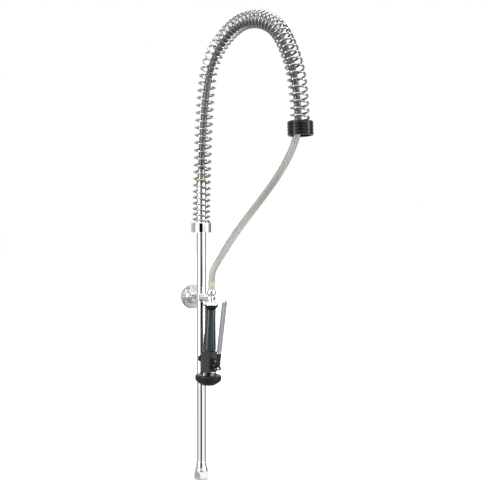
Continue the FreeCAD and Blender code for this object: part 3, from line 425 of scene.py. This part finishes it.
# %% Floor
FLOOR_DROP = 0.0008
FLOOR_SIZE = 60.0
floor_mesh = bpy.data.meshes.new("floor")
square = np.array([(-1, -1, 0), (1, -1, 0), (1, 1, 0), (-1, 1, 0)]) * FLOOR_SIZE
floor_mesh.from_pydata(square - [0, 0, FLOOR_DROP], [], [(0, 1, 2, 3)])
floor = link("floor", floor_mesh)
floor.visible_glossy = False
paper = bpy.data.materials.new("white_paper")
paper.use_nodes = True
paper_shader = paper.node_tree.nodes["Principled BSDF"]
paper_shader.inputs["Base Color"].default_value = (0.93, 0.93, 0.93, 1)
paper_shader.inputs["Roughness"].default_value = 0.9
paper_shader.inputs["Specular IOR Level"].default_value = 0.1
floor_mesh.materials.append(paper)
print("floor:", 2 * FLOOR_SIZE, "m across")


# %% [markdown]
# ## Finishes
# Each finish is a Principled shader, and its small irregularities come from procedural patterns:
# bright plating has a faint ripple and a few smudges, the wall flange's plating is a softer satin,
# drawn wire has lines along it, and moulded plastic has a fine grain. Values that are the same all
# over sit on the shader's own sockets.

# %% Helpers for finishes
def finish(name, color, roughness, metallic=0.0, **sockets):
    paint = bpy.data.materials.new(name)
    paint.use_nodes = True
    shader = paint.node_tree.nodes["Principled BSDF"]
    shader.inputs["Base Color"].default_value = (*color, 1)
    shader.inputs["Roughness"].default_value = roughness
    shader.inputs["Metallic"].default_value = metallic
    for socket, value in sockets.items():
        shader.inputs[socket.replace("_", " ")].default_value = value
    return paint


def add(paint, kind, **values):
    """A node of that kind in the material's tree, with named inputs or properties set."""
    node = paint.node_tree.nodes.new("ShaderNode" + kind)
    for key, value in values.items():
        if key in node.inputs:
            node.inputs[key].default_value = value
        else:
            setattr(node, key, value)
    return node


def wire_up(paint, source, target):
    paint.node_tree.links.new(source, target)


def shader_of(paint):
    return paint.node_tree.nodes["Principled BSDF"]


def place_of_pattern(paint, scale=(1, 1, 1), of="Object"):
    """The coordinates that a pattern reads: the piece's own metres, or its UV, each axis scaled."""
    where = add(paint, "TexCoord")
    mapping = add(paint, "Mapping", Scale=scale)
    wire_up(paint, where.outputs[of], mapping.inputs["Vector"])
    return mapping.outputs["Vector"]


def noise(paint, vector, scale, detail=3.0):
    pattern = add(paint, "TexNoise", Scale=scale, Detail=detail)
    wire_up(paint, vector, pattern.inputs["Vector"])
    return pattern.outputs["Fac"]


def mapped(paint, value, low, high, start=0.3, end=0.7):
    """A pattern's value spread from low to high."""
    spread = add(paint, "MapRange")
    for socket, number in (("From Min", start), ("From Max", end), ("To Min", low), ("To Max", high)):
        spread.inputs[socket].default_value = number
    wire_up(paint, value, spread.inputs["Value"])
    return spread.outputs["Result"]


def bump(paint, height, depth, strength=1.0):
    """Relief of that depth in metres, joined to the shader's normal."""
    relief = add(paint, "Bump", Strength=strength, Distance=depth)
    wire_up(paint, height, relief.inputs["Height"])
    wire_up(paint, relief.outputs["Normal"], shader_of(paint).inputs["Normal"])


# %% [markdown]
# The pipe, the clamp, the fork and the dome are plated and bright enough to mirror the room. The spring
# is drawn wire, darker and finely lined, the lever is a brushed strip, and the screws are plain steel.
# One metal for all of them would look like one casting, so each has its own colour and its own uneven
# roughness.

# %% Metals
def chrome():
    paint = finish("bright_chrome", (0.93, 0.935, 0.94), 0.05, metallic=1.0)
    smudges = noise(paint, place_of_pattern(paint), 28.0)
    wire_up(paint, mapped(paint, smudges, 0.035, 0.085), shader_of(paint).inputs["Roughness"])
    ripple = noise(paint, place_of_pattern(paint), 90.0, detail=1.0)
    bump(paint, ripple, 0.00002)
    return paint


def satin():
    paint = finish("satin_chrome", (0.60, 0.605, 0.615), 0.2, metallic=1.0)
    smudges = noise(paint, place_of_pattern(paint), 40.0)
    wire_up(paint, mapped(paint, smudges, 0.16, 0.24), shader_of(paint).inputs["Roughness"])
    return paint


def drawn_wire():
    paint = finish("drawn_wire", (0.42, 0.425, 0.43), 0.08, metallic=1.0)
    lines = noise(paint, place_of_pattern(paint, (0.6, 40, 1), of="UV"), 6.0)
    wire_up(paint, mapped(paint, lines, 0.05, 0.13), shader_of(paint).inputs["Roughness"])
    bump(paint, lines, 0.00001)
    return paint


def brushed_strip():
    paint = finish("brushed_strip", (0.5, 0.505, 0.515), 0.25, metallic=1.0)
    strokes = noise(paint, place_of_pattern(paint, (400, 400, 8)), 1.0)
    wire_up(paint, mapped(paint, strokes, 0.18, 0.34), shader_of(paint).inputs["Roughness"])
    bump(paint, strokes, 0.00001)
    return paint


def plain_steel():
    paint = finish("plain_steel", (0.66, 0.665, 0.68), 0.28, metallic=1.0)
    marks = noise(paint, place_of_pattern(paint), 180.0)
    wire_up(paint, mapped(paint, marks, 0.2, 0.38), shader_of(paint).inputs["Roughness"])
    return paint


def brass():
    paint = finish("turned_brass", (0.40, 0.375, 0.29), 0.3, metallic=1.0)
    marks = noise(paint, place_of_pattern(paint, (30, 30, 900)), 1.0)
    wire_up(paint, mapped(paint, marks, 0.22, 0.4), shader_of(paint).inputs["Roughness"])
    return paint


# %% [markdown]
# The grip, the valve block, the collar and the bumper are moulded. Two patterns of noise stand for the
# moulding: a slow one in the colour and a fine one in the surface.

# %% Plastics and rubber
def moulded(name, dark, light, roughness, grain=900.0, depth=0.00004, specular=0.5):
    """Moulded plastic: a slight mottle in its colour and a fine grain."""
    paint = finish(name, dark, roughness)
    shader_of(paint).inputs["Specular IOR Level"].default_value = specular
    mottle = noise(paint, place_of_pattern(paint), 35.0)
    blend = add(paint, "Mix", data_type="RGBA")
    colors = [socket for socket in blend.inputs if socket.type == "RGBA"]
    colors[0].default_value, colors[1].default_value = (*dark, 1), (*light, 1)
    wire_up(paint, mapped(paint, mottle, 0, 1), blend.inputs["Factor"])
    wire_up(paint, next(o for o in blend.outputs if o.type == "RGBA"), shader_of(paint).inputs["Base Color"])
    bump(paint, noise(paint, place_of_pattern(paint), grain, detail=2.0), depth)
    return paint


PAINTS = {
    "chrome": chrome(),
    "satin": satin(),
    "wire": drawn_wire(),
    "strip": brushed_strip(),
    "steel": plain_steel(),
    "brass": brass(),
    "grip": moulded("slate_grip", (0.014, 0.022, 0.027), (0.019, 0.029, 0.034), 0.2),
    "block": moulded("dark_block", (0.022, 0.019, 0.025), (0.030, 0.026, 0.033), 0.26),
    "black": moulded("black_plastic", (0.004, 0.004, 0.0045), (0.007, 0.007, 0.0075), 0.26, specular=0.35),
    "rubber": moulded("black_rubber", (0.006, 0.007, 0.0065), (0.010, 0.011, 0.0105), 0.4, 600, 0.00006,
                      specular=0.2),
    "sleeve": finish("clear_sleeve", (0.66, 0.72, 0.58), 0.12, Transmission_Weight=0.55, IOR=1.46),
}
print("finishes:", ", ".join(PAINTS))


def dress(piece, paint, body=None, stands_for=()):
    """Give a new piece its finish and body, and hide the solids that it stands for."""
    piece.data.materials.clear()
    piece.data.materials.append(PAINTS[paint])
    if body:
        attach(piece, body)
    if stands_for:
        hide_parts(*stands_for)
    print(f"{piece.name}: {len(piece.data.polygons)} faces, {paint}")
    return piece


def repaint(node, paint):
    """Give a solid that stays as it is a better finish."""
    nodes[node].data.materials.clear()
    nodes[node].data.materials.append(PAINTS[paint])


# %% [markdown]
# ## Hose
# The hose is one length of braided tube in a clear jacket. It is clamped at the pipe's top, runs inside
# the spring, leaves it at the collar and hangs in a gentle S down to the gun. The stretch inside
# the spring follows the arch. The free stretch is a fixed length of flexible hose.
# Both routes are short lists of points, the same that the solid model uses, except that the free
# hose's last four before the gun stand up to 6 mm further from the pipe.

# %% Routes of the spring and the hose
ARCH_SWING = math.radians(17.3)
FORWARD = np.array([math.sin(ARCH_SWING), -math.cos(ARCH_SWING), 0])
RISER_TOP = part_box("riser_pipe")[1][2]
SPRING_SEAT = RISER_TOP - 0.102
ARCH = [(0, 0), (0.4, 75), (14.6, 335), (53, 404), (120, 447), (186, 449), (245.5, 423.5),
        (282, 374.5), (313.5, 295), (317, 204)]
HOSE_ARCH = [(18, 330), (57, 398), (121, 441), (184, 443), (241, 418.5), (276, 370.5),
             (305.5, 296), (309.5, 238)]
HOSE_START = RISER_TOP + 0.009
HOSE_RISE = 0.062
DROP = [(91.2, -293.8, 751), (86.8, -283, 724), (79.3, -263.7, 694), (70, -240, 664),
        (58, -209.5, 631.5), (45.5, -177.5, 599.5), (32.5, -144.5, 567), (22.6, -117.5, 538.5),
        (17.2, -100.4, 519), (12.8, -85.6, 502), (7.2, -73, 486)]
LEAVING_RUN = 0.023
ARRIVING_RUN = 0.019
CRIMP_MOUTH = 0.0369
SEAM = 0.0001  # between the hose in the spring and the free hose
HOSE_SPACING = 0.003


def on_arch(corners):
    """Corners (reach, height) in millimetres, in the upright plane that the arch swings in."""
    reach_and_height = np.array(corners) * MM
    return reach_and_height[:, :1] * FORWARD + reach_and_height[:, 1:] * [0, 0, 1] + [0, 0, SPRING_SEAT]


hose_top = np.array([[0, 0, HOSE_START], [0, 0, HOSE_START + HOSE_RISE]])
inner_route = np.vstack([hose_top, on_arch(HOSE_ARCH)])
leaving = inner_route[-1] - inner_route[-2]
leaving /= np.linalg.norm(leaving)
crimp_end = HANG.world([(0, 0, CRIMP_MOUTH + ARRIVING_RUN), (0, 0, CRIMP_MOUTH)])
drop_route = np.vstack([inner_route[-1] + leaving * SEAM, inner_route[-1] + leaving * LEAVING_RUN,
                        np.array(DROP) * MM, crimp_end])
HOSE_DIAMETER = 0.015
inner_path = smooth_route(inner_route, HOSE_SPACING)
drop_path = smooth_route(drop_route, HOSE_SPACING)
inner_length, drop_length = lengths_along(inner_path)[-1], lengths_along(drop_path)[-1]
print(f"hose: {inner_length:.4f} m inside the spring, {drop_length:.4f} m free")


# %% Hose finish
# Painted shade: a hose's colour is darkened over its first stretch, which lies inside the spring's coils and the
# collar, and the darkening fades out over these metres.
SHADED_RUN = (0.024, 0.036)  # metres along a hose over which its dark start fades out
BANDS_PER_METRE, BANDS_ROUND, WEAVE_SHARE = 260.0, 12.0, 0.18


def braid_under_jacket(name, dark, light):
    """Fine steel braid seen through a clear, slightly yellowed jacket.

    Two families of diagonal bands cross in the piece's UV, whose first axis is metres along the
    hose and whose second goes once round it.
    """
    paint = finish(name, dark, 0.35, metallic=0.0, Coat_Weight=1.0,
                   Coat_Roughness=0.06, Coat_IOR=1.5)
    shader = shader_of(paint)
    where = add(paint, "TexCoord")
    split = add(paint, "SeparateXYZ")
    wire_up(paint, where.outputs["UV"], split.inputs[0])

    def band(slant):
        """A sine across one family of bands: sin(tau (pitches along + turns round * slant))."""
        along = add(paint, "Math", operation="MULTIPLY")
        along.inputs[1].default_value = BANDS_PER_METRE
        wire_up(paint, split.outputs["X"], along.inputs[0])
        round_it = add(paint, "Math", operation="MULTIPLY_ADD")
        round_it.inputs[1].default_value = BANDS_ROUND * slant
        wire_up(paint, split.outputs["Y"], round_it.inputs[0])
        wire_up(paint, along.outputs[0], round_it.inputs[2])
        turn = add(paint, "Math", operation="MULTIPLY")
        turn.inputs[1].default_value = math.tau
        wire_up(paint, round_it.outputs[0], turn.inputs[0])
        wave = add(paint, "Math", operation="SINE")
        wire_up(paint, turn.outputs[0], wave.inputs[0])
        return wave.outputs[0]

    weave = add(paint, "Math", operation="MULTIPLY")
    wire_up(paint, band(1), weave.inputs[0])
    wire_up(paint, band(-1), weave.inputs[1])
    streaks = noise(paint, place_of_pattern(paint, (4, 9, 1), of="UV"), 1.0, detail=2.0)
    total = add(paint, "Math", operation="MULTIPLY_ADD")
    total.inputs[1].default_value = WEAVE_SHARE
    wire_up(paint, weave.outputs[0], total.inputs[0])
    wire_up(paint, streaks, total.inputs[2])
    # Painted shade: the braid's colour is darkened over the first stretch along the hose, where the spring and the
    # collar shade it.
    shaded = add(paint, "Math", operation="MULTIPLY")
    wire_up(paint, total.outputs[0], shaded.inputs[0])
    wire_up(paint, mapped(paint, split.outputs["X"], 0, 1, *SHADED_RUN), shaded.inputs[1])
    tint = add(paint, "Mix", data_type="RGBA")
    colors = [socket for socket in tint.inputs if socket.type == "RGBA"]
    colors[0].default_value, colors[1].default_value = (*dark, 1), (*light, 1)
    wire_up(paint, mapped(paint, shaded.outputs[0], 0, 1, 0.25, 0.75), tint.inputs["Factor"])
    wire_up(paint, next(o for o in tint.outputs if o.type == "RGBA"), shader.inputs["Base Color"])
    bump(paint, weave.outputs[0], 0.00008, 0.6)
    return paint


PAINTS["hose"] = braid_under_jacket("jacketed_braid", (0.10, 0.103, 0.090), (0.40, 0.405, 0.37))
# The hose inside the spring is the same braid in darker colours: painted shade for the spring's coils round it.
PAINTS["inner hose"] = braid_under_jacket("braid_in_painted_shade", (0.022, 0.022, 0.021), (0.105, 0.106, 0.10))

# %% The hose itself
ARCH_SIDE = np.cross([0, 0, 1], FORWARD)
HOSE_SLICES = 32


def hose_tube(name, path, start_side):
    sides = carried(path, start_side)
    step = lengths_along(path)[-1] / (len(path) - 1)
    return swept(name, path, HOSE_DIAMETER / 2, sides, HOSE_SLICES, uv=(step, 1)), sides


inner_hose, inner_sides = hose_tube("hose_run", inner_path, ARCH_SIDE)
dress(inner_hose, "inner hose", "root", ["hose_in_spring"])
free_hose, _ = hose_tube("hose_fall", drop_path, inner_sides[0][-1])
dress(free_hose, "hose", None, ["hose_drop"])
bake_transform(free_hose)
print("hose triangles:", len(inner_hose.data.polygons) * 2 + len(free_hose.data.polygons) * 2)


# %% [markdown]
# ## Spring
# The spring is one long wire. Its centreline runs up the arch while it turns round it, so its points
# are the arch's own point plus a radius that turns once for each pitch. The pitch isn't even: the
# coils lie close at both ends, stand wide on the legs and crowd together over the top.

# %% Spring wire
WIRE = 0.0046
COIL = 0.041
PITCH = np.array([(0.0, 5.6), (0.03, 11.5), (0.2, 17.0), (0.36, 16.3), (0.48, 14.5), (0.58, 11.3),
                  (0.72, 11.5), (0.82, 14.8), (0.97, 14.8), (1.0, 5.6)]) * [1, MM]
STEPS_PER_TURN, WIRE_SLICES, ARCH_SPACING = 40, 14, 0.0005
END_MARGIN = WIRE / 2 + 0.0002


def coil_line():
    """arch(s) + radius (normal cos p - side sin p), where the phase p grows by tau ds / pitch(s)."""
    arch = smooth_route(on_arch(ARCH), ARCH_SPACING)
    run = lengths_along(arch)
    total = run[-1]
    inverse = 1 / np.interp(run / total, PITCH[:, 0], PITCH[:, 1])
    mean = (inverse[1:] + inverse[:-1]) / 2
    turns = np.concatenate([[0], np.cumsum(mean * np.diff(run))])
    first, last = np.interp([END_MARGIN, total - END_MARGIN], run, turns)
    count = int((last - first) * STEPS_PER_TURN)
    at_turn = np.linspace(first, last, count + 1)
    spot = np.interp(at_turn, turns, run)
    centre = np.column_stack([np.interp(spot, run, arch[:, axis]) for axis in range(3)])
    along = headings(arch)
    along = np.column_stack([np.interp(spot, run, along[:, axis]) for axis in range(3)])
    along /= np.linalg.norm(along, axis=1)[:, None]
    normal = np.cross(ARCH_SIDE, along)
    phase = (math.tau * (at_turn - first))[:, None]
    ring = normal * np.cos(phase) - ARCH_SIDE * np.sin(phase)
    return centre + ring * (COIL - WIRE) / 2, ring, last - first


coil, outward, turn_count = coil_line()
coil_heading = headings(coil)
outward = outward - coil_heading * np.sum(outward * coil_heading, axis=1)[:, None]
outward /= np.linalg.norm(outward, axis=1)[:, None]
coil_step = lengths_along(coil)[-1] / (len(coil) - 1)
spring_piece = swept("spring_wire", coil, WIRE / 2, (outward, np.cross(coil_heading, outward)), WIRE_SLICES,
                     uv=(coil_step, 1))
dress(spring_piece, "wire", "root", ["spring"])
print(f"spring: {turn_count:.1f} turns, {len(spring_piece.data.polygons) * 2} triangles")


# %% [markdown]
# ## Turned pieces
# Most of the faucet comes off a lathe. Each profile below repeats the solid model's sizes in
# millimetres, with the small edge radii that a real piece has. A third number is a corner's radius.
# The profile runs round the section and back to its start, so every piece is a closed solid.

# %% Turning from a table
def lathe(name, corners, place, paint, body, stands_for, slices=96, lift=0.0, angle=35):
    """Turn a closed profile in millimetres, raised by lift, and dress it."""
    profile = [(corner[0] * MM, (corner[1] + lift) * MM, *(radius * MM for radius in corner[2:]))
               for corner in corners]
    piece = turned(name, profile + [profile[0][:2]], place, slices, angle)
    return dress(piece, paint, body, [stands_for])


# %% The pipe and its foot
lathe("pipe", [(9.5, 24), (11, 24), (11, 664), (9.5, 664)], RISER, "chrome", "root", "riser_pipe",
      slices=128)
lathe("pipe_foot", [(7.5, 10.1), (12, 10.1, 0.3), (12, 12.3, 0.3), (9.95, 12.3), (9.95, 17.9),
                    (15.5, 17.9, 0.8), (15.5, 19.9, 0.8), (12.5, 27.35, 16.8), (11.8, 38.9, 0.35),
                    (11.02, 38.9), (11.02, 24), (7.5, 24)],
      RISER, "chrome", "root", "tailpiece", slices=128)

# %% [markdown]
# A rod braces the pipe against the wall and ends in a stepped round flange, the rosette. Its steps are
# low, so they are drawn with their rounding and not left to a bump.

# %% The rod and its rosette on the wall
lathe("wall_rod", [(0, 19.02), (7, 19.02, 0.3), (7, 55), (3.52, 55), (3.52, 40), (0, 40)], WALL,
      "chrome", "root", "bracket_rod")
lathe("wall_rod_ring", [(7.02, 40), (10, 40, 1.4), (10, 45.98, 0.5), (7.02, 45.98)], WALL,
      "chrome", "root", "rod_collar")
lathe("rosette", [(7.02, 46), (11, 46, 0.7), (11.5, 47.3, 0.5), (14.5, 47.3, 1.0), (15.4, 51.3, 1.0),
                  (26.2, 52.6, 1.2), (27.7, 53.6, 0.5), (28, 54.6, 0.4), (28, 56), (7.02, 56)], WALL,
      "satin", "root", "wall_flange", slices=128)


# %% [markdown]
# The spring's lower end sits in a black ribbed collar, on the arch's last direction. Its ridges are
# shallow and softly rounded.

# %% The collar at the spring's end
arch_end = on_arch(ARCH[-2:])
COLLAR_PLACE = Place(arch_end[1], arch_end[1] - arch_end[0])
RIDGES, COLLAR_LOW, COLLAR_HIGH = 9, -12.0, 17.0
VALLEY, CREST, HALF_STEP = 26.2, 27.0, 0.35
ridge = (COLLAR_HIGH - COLLAR_LOW) / RIDGES
collar_profile = [(20.9, COLLAR_LOW), (VALLEY, COLLAR_LOW, 0.8)]
for index in range(1, RIDGES):
    edge = COLLAR_LOW + index * ridge
    before, after = (VALLEY, CREST) if index % 2 else (CREST, VALLEY)
    collar_profile += [(before, edge - HALF_STEP, 0.5), (after, edge + HALF_STEP, 0.5)]
collar_profile += [(VALLEY, COLLAR_HIGH, 0.8), (22.0, COLLAR_HIGH, 0.5), (22.0, 2.2, 0.3), (17.8, 2.2, 0.4),
                   (17.8, 0.02, 0.4), (20.9, 0.02)]
lathe("hose_collar", collar_profile, COLLAR_PLACE, "black", "root", "spring_collar",
      slices=120)

# %% [markdown]
# The hose is held at both ends. On the pipe a brass crimp is pinched into grooves round it, and at the
# gun it sits in a clear sleeve, a little wider than the hose.

# %% The crimped ends of the hose
lathe("pipe_crimp", [(7.52, 8.02), (9, 8.02, 0.4), (9, 10.2, 0.4), (8.6, 10.9, 0.4), (8.6, 15.2, 0.4),
                     (9, 15.9, 0.4), (9, 18.4, 0.4), (8.6, 19.1, 0.4), (8.6, 23.4, 0.4), (9, 24.1, 0.4),
                     (9, 32.02, 0.7), (7.52, 32.02)],
      RISER, "brass", "root", "upper_crimp", slices=64, lift=664)
lathe("gun_crimp", [(7.52, 18.3), (8.8, 18.3, 0.5), (8.8, 36.5, 0.6), (7.52, 36.5)], HANG,
      "sleeve", "hose_end", "lower_crimp", slices=64)

# %% [markdown]
# The gun hangs by a chromed ball. Its profile is part of a circle, so it is worked out from the ball's
# radius, from the edge of the hole below up to the flat top.

# %% The ball that hangs in the fork
BALL_RADIUS, BALL_CENTRE, BALL_TOP, BALL_HOLE = 10.8, 9.15, 16.2, 5.05
lowest = math.asin(-math.sqrt(BALL_RADIUS ** 2 - BALL_HOLE ** 2) / BALL_RADIUS)
highest = math.asin((BALL_TOP - BALL_CENTRE) / BALL_RADIUS)
latitude = np.linspace(lowest, highest, 48)
ball_profile = [(BALL_RADIUS * math.cos(a), BALL_CENTRE + BALL_RADIUS * math.sin(a)) for a in latitude]
lathe("hanging_ball", ball_profile + [(7.35, BALL_TOP), (7.35, 1.5), (BALL_HOLE, 1.5)], HANG,
      "chrome", "hose_end", "swivel_ball", slices=96)


# %% [markdown]
# ## The gun
# Below the ball come a chromed dome, a black flare, a tapering grip, the square valve block and the
# spray head in its rubber bumper. All but the block and the spray head are turned here; the head stays
# a solid. Heights count from the fork's top.

# %% Dome, flare and grip
FLARE_TOP, GRIP_TOP, GRIP_LOW = -17.4, -28.9, -120.4
lathe("dome", [(5.02, FLARE_TOP), (17, FLARE_TOP, 0.5), (17, FLARE_TOP + 1.4, 0.7),
               (14.6, FLARE_TOP + 3.5, 2.5), (10.5, FLARE_TOP + 6.7, 7), (8, FLARE_TOP + 8.2, 1.5),
               (5.02, FLARE_TOP + 8.3)], GUN, "chrome", "gun", "neck_dome", slices=128)
lathe("flare", [(7.5, GRIP_TOP + 0.02), (10.8, GRIP_TOP + 0.02, 0.3), (10.8, GRIP_TOP + 1.2, 3),
                (16.6, FLARE_TOP - 1.8, 0.8), (16.6, FLARE_TOP - 0.02, 0.4), (7.5, FLARE_TOP - 0.02)],
      GUN, "black", "gun", "grip_collar", slices=128)
lathe("handle", [(7.5, GRIP_LOW), (13.3, GRIP_LOW, 0.8), (14.7, GRIP_LOW + 3, 2.5),
                 (11.3, GRIP_TOP - 20, 90), (10.8, GRIP_TOP, 0.4), (7.5, GRIP_TOP)],
      GUN, "grip", "gun", "grip", slices=128)

# %% [markdown]
# The bumper is a thick rubber ring that keeps the head from knocking against sinks. It is hollow where
# the head sits in it.

# %% Bumper round the head
HEAD_TOP = -175.0
lathe("bumper_ring", [(18.85, 0.35), (25.7, 0.35, 1.5), (29.2, -1.5, 3), (29.2, -10.5, 4), (25, -15, 7),
                      (15.5, -21.4, 2.4), (13.5, -21.4, 0.5), (13.5, -18.9, 0.3), (16.1, -18.9),
                      (16.1, -15.5), (22.05, -9.05), (22.05, -2.9)],
      GUN, "rubber", "gun", "bumper", slices=144, lift=HEAD_TOP)

# %% [markdown]
# The valve lies across the block. Its packing nut closes one end, and its bonnet, which has a narrow
# waist, the other.

# %% Valve ends
VALVE_HEIGHT = -141.2
ACROSS = Place(GUN.world([0, 0, VALVE_HEIGHT * MM]), -GUN.axes[:, 1], GUN.axes[:, 0])
lathe("packing_cap", [(2.45, 8), (5, 8), (5, 13.52), (6.5, 13.52, 0.3), (6.5, 18.5, 0.8), (2.45, 18.5)],
      ACROSS, "black", "gun", "packing_nut", slices=64)
lathe("bonnet", [(5.5, -9.5), (7.48, -9.5), (7.48, -13.52), (8.5, -13.52, 0.6), (8.5, -19.4, 1.4),
                 (6.5, -19.7, 0.6), (6.5, -21.3, 0.6), (8.5, -21.6, 1.4), (8.5, -27.5, 1.8),
                 (0, -27.5), (0, -25.5), (5.5, -25.5)],
      ACROSS, "black", "gun", "bonnet_cap", slices=96)
print("turned pieces made")


# %% [markdown]
# The valve's return spring lies between the bonnet's floor and the stem's flange.

# %% Return spring
COIL_RADIUS, COIL_WIRE, COIL_ENDS, COIL_TURNS = 4.2, 0.8, (-25.05, -5.92), 10
COIL_STEPS, COIL_SLICES = 24, 10
count = COIL_STEPS * COIL_TURNS
turn = np.linspace(0, math.tau * COIL_TURNS, count + 1)
helix = np.column_stack([COIL_RADIUS * np.cos(turn), COIL_RADIUS * np.sin(turn),
                         np.linspace(*COIL_ENDS, count + 1)]) * MM
helix = ACROSS.world(helix)
return_spring = swept("return_spring", helix, COIL_WIRE / 2 * MM, carried(helix, ACROSS.axes[:, 2]),
                      COIL_SLICES)
dress(return_spring, "steel", "gun", ["valve_spring"])
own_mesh(return_spring)


# %% [markdown]
# ## Milled and pressed pieces
# The nut, the clamp, the ferrule, the fork, the block and the lever's pieces have flats and holes,
# and are right as solids apart from their edges. Each is copied, its facets are merged, and a small
# bevel takes the sharpness off every edge, so that it catches a line of light.

# %% Softened copies
def softened(node, name, width, paint, body, steps=3, angle=32):
    """A copy of a solid with its edges bevelled by width metres."""
    piece = link(name, nodes[node].data.copy())
    piece.matrix_world = nodes[node].matrix_world.copy()
    close_up(piece.data, 2e-6)
    bevel = piece.modifiers.new("bevel", "BEVEL")
    bevel.width, bevel.segments = width, steps
    bevel.limit_method, bevel.angle_limit = "ANGLE", math.radians(angle)
    bevel.use_clamp_overlap = True
    bevel.harden_normals = False
    bpy.context.view_layer.update()
    finished = bpy.data.meshes.new_from_object(piece.evaluated_get(bpy.context.evaluated_depsgraph_get()))
    piece.modifiers.clear()
    piece.data = finished
    smooth(piece, 40)
    return dress(piece, paint, body, [node])


softened("coupling_nut", "union_nut", 0.0016, "chrome", "coupling_nut")
softened("riser_clamp", "clamp_ring", 0.0003, "chrome", "root")
softened("spring_ferrule", "ferrule", 0.0003, "chrome", "root")
softened("gun_hook", "fork", 0.0008, "chrome", "root")
softened("valve_body", "valve_block", 0.0004, "block", "gun")
softened("lever", "trigger", 0.00035, "strip", "lever")
softened("lever_bracket", "trigger_bracket", 0.00035, "black", "gun")
softened("lever_sleeve", "trigger_sleeve", 0.0004, "black", "lever")


# %% [markdown]
# ## The solids that stay
# Small pieces with flats and sockets are already right as solids, and only get their finish here.

# %% Repainting solids
KEPT = {
    "chrome": ["swivel_stem"],
    "steel": ["clamp_screw", "hanger_stud", "ferrule_screw", "bracket_screws", "pivot_pin",
              "nozzle_plate", "valve_stem", "lower_barb"],
    "brass": ["hose_adaptor", "water_tube"],
    "black": ["spray_head", "head_pin"],
    "rubber": ["inlet_gasket", "adaptor_seal", "swivel_oring", "seat_washer"],
    "hose": ["hose_tail"],
}
for paint, names in KEPT.items():
    for node in names:
        repaint(node, paint)
print(sum(len(names) for names in KEPT.values()), "solids repainted")
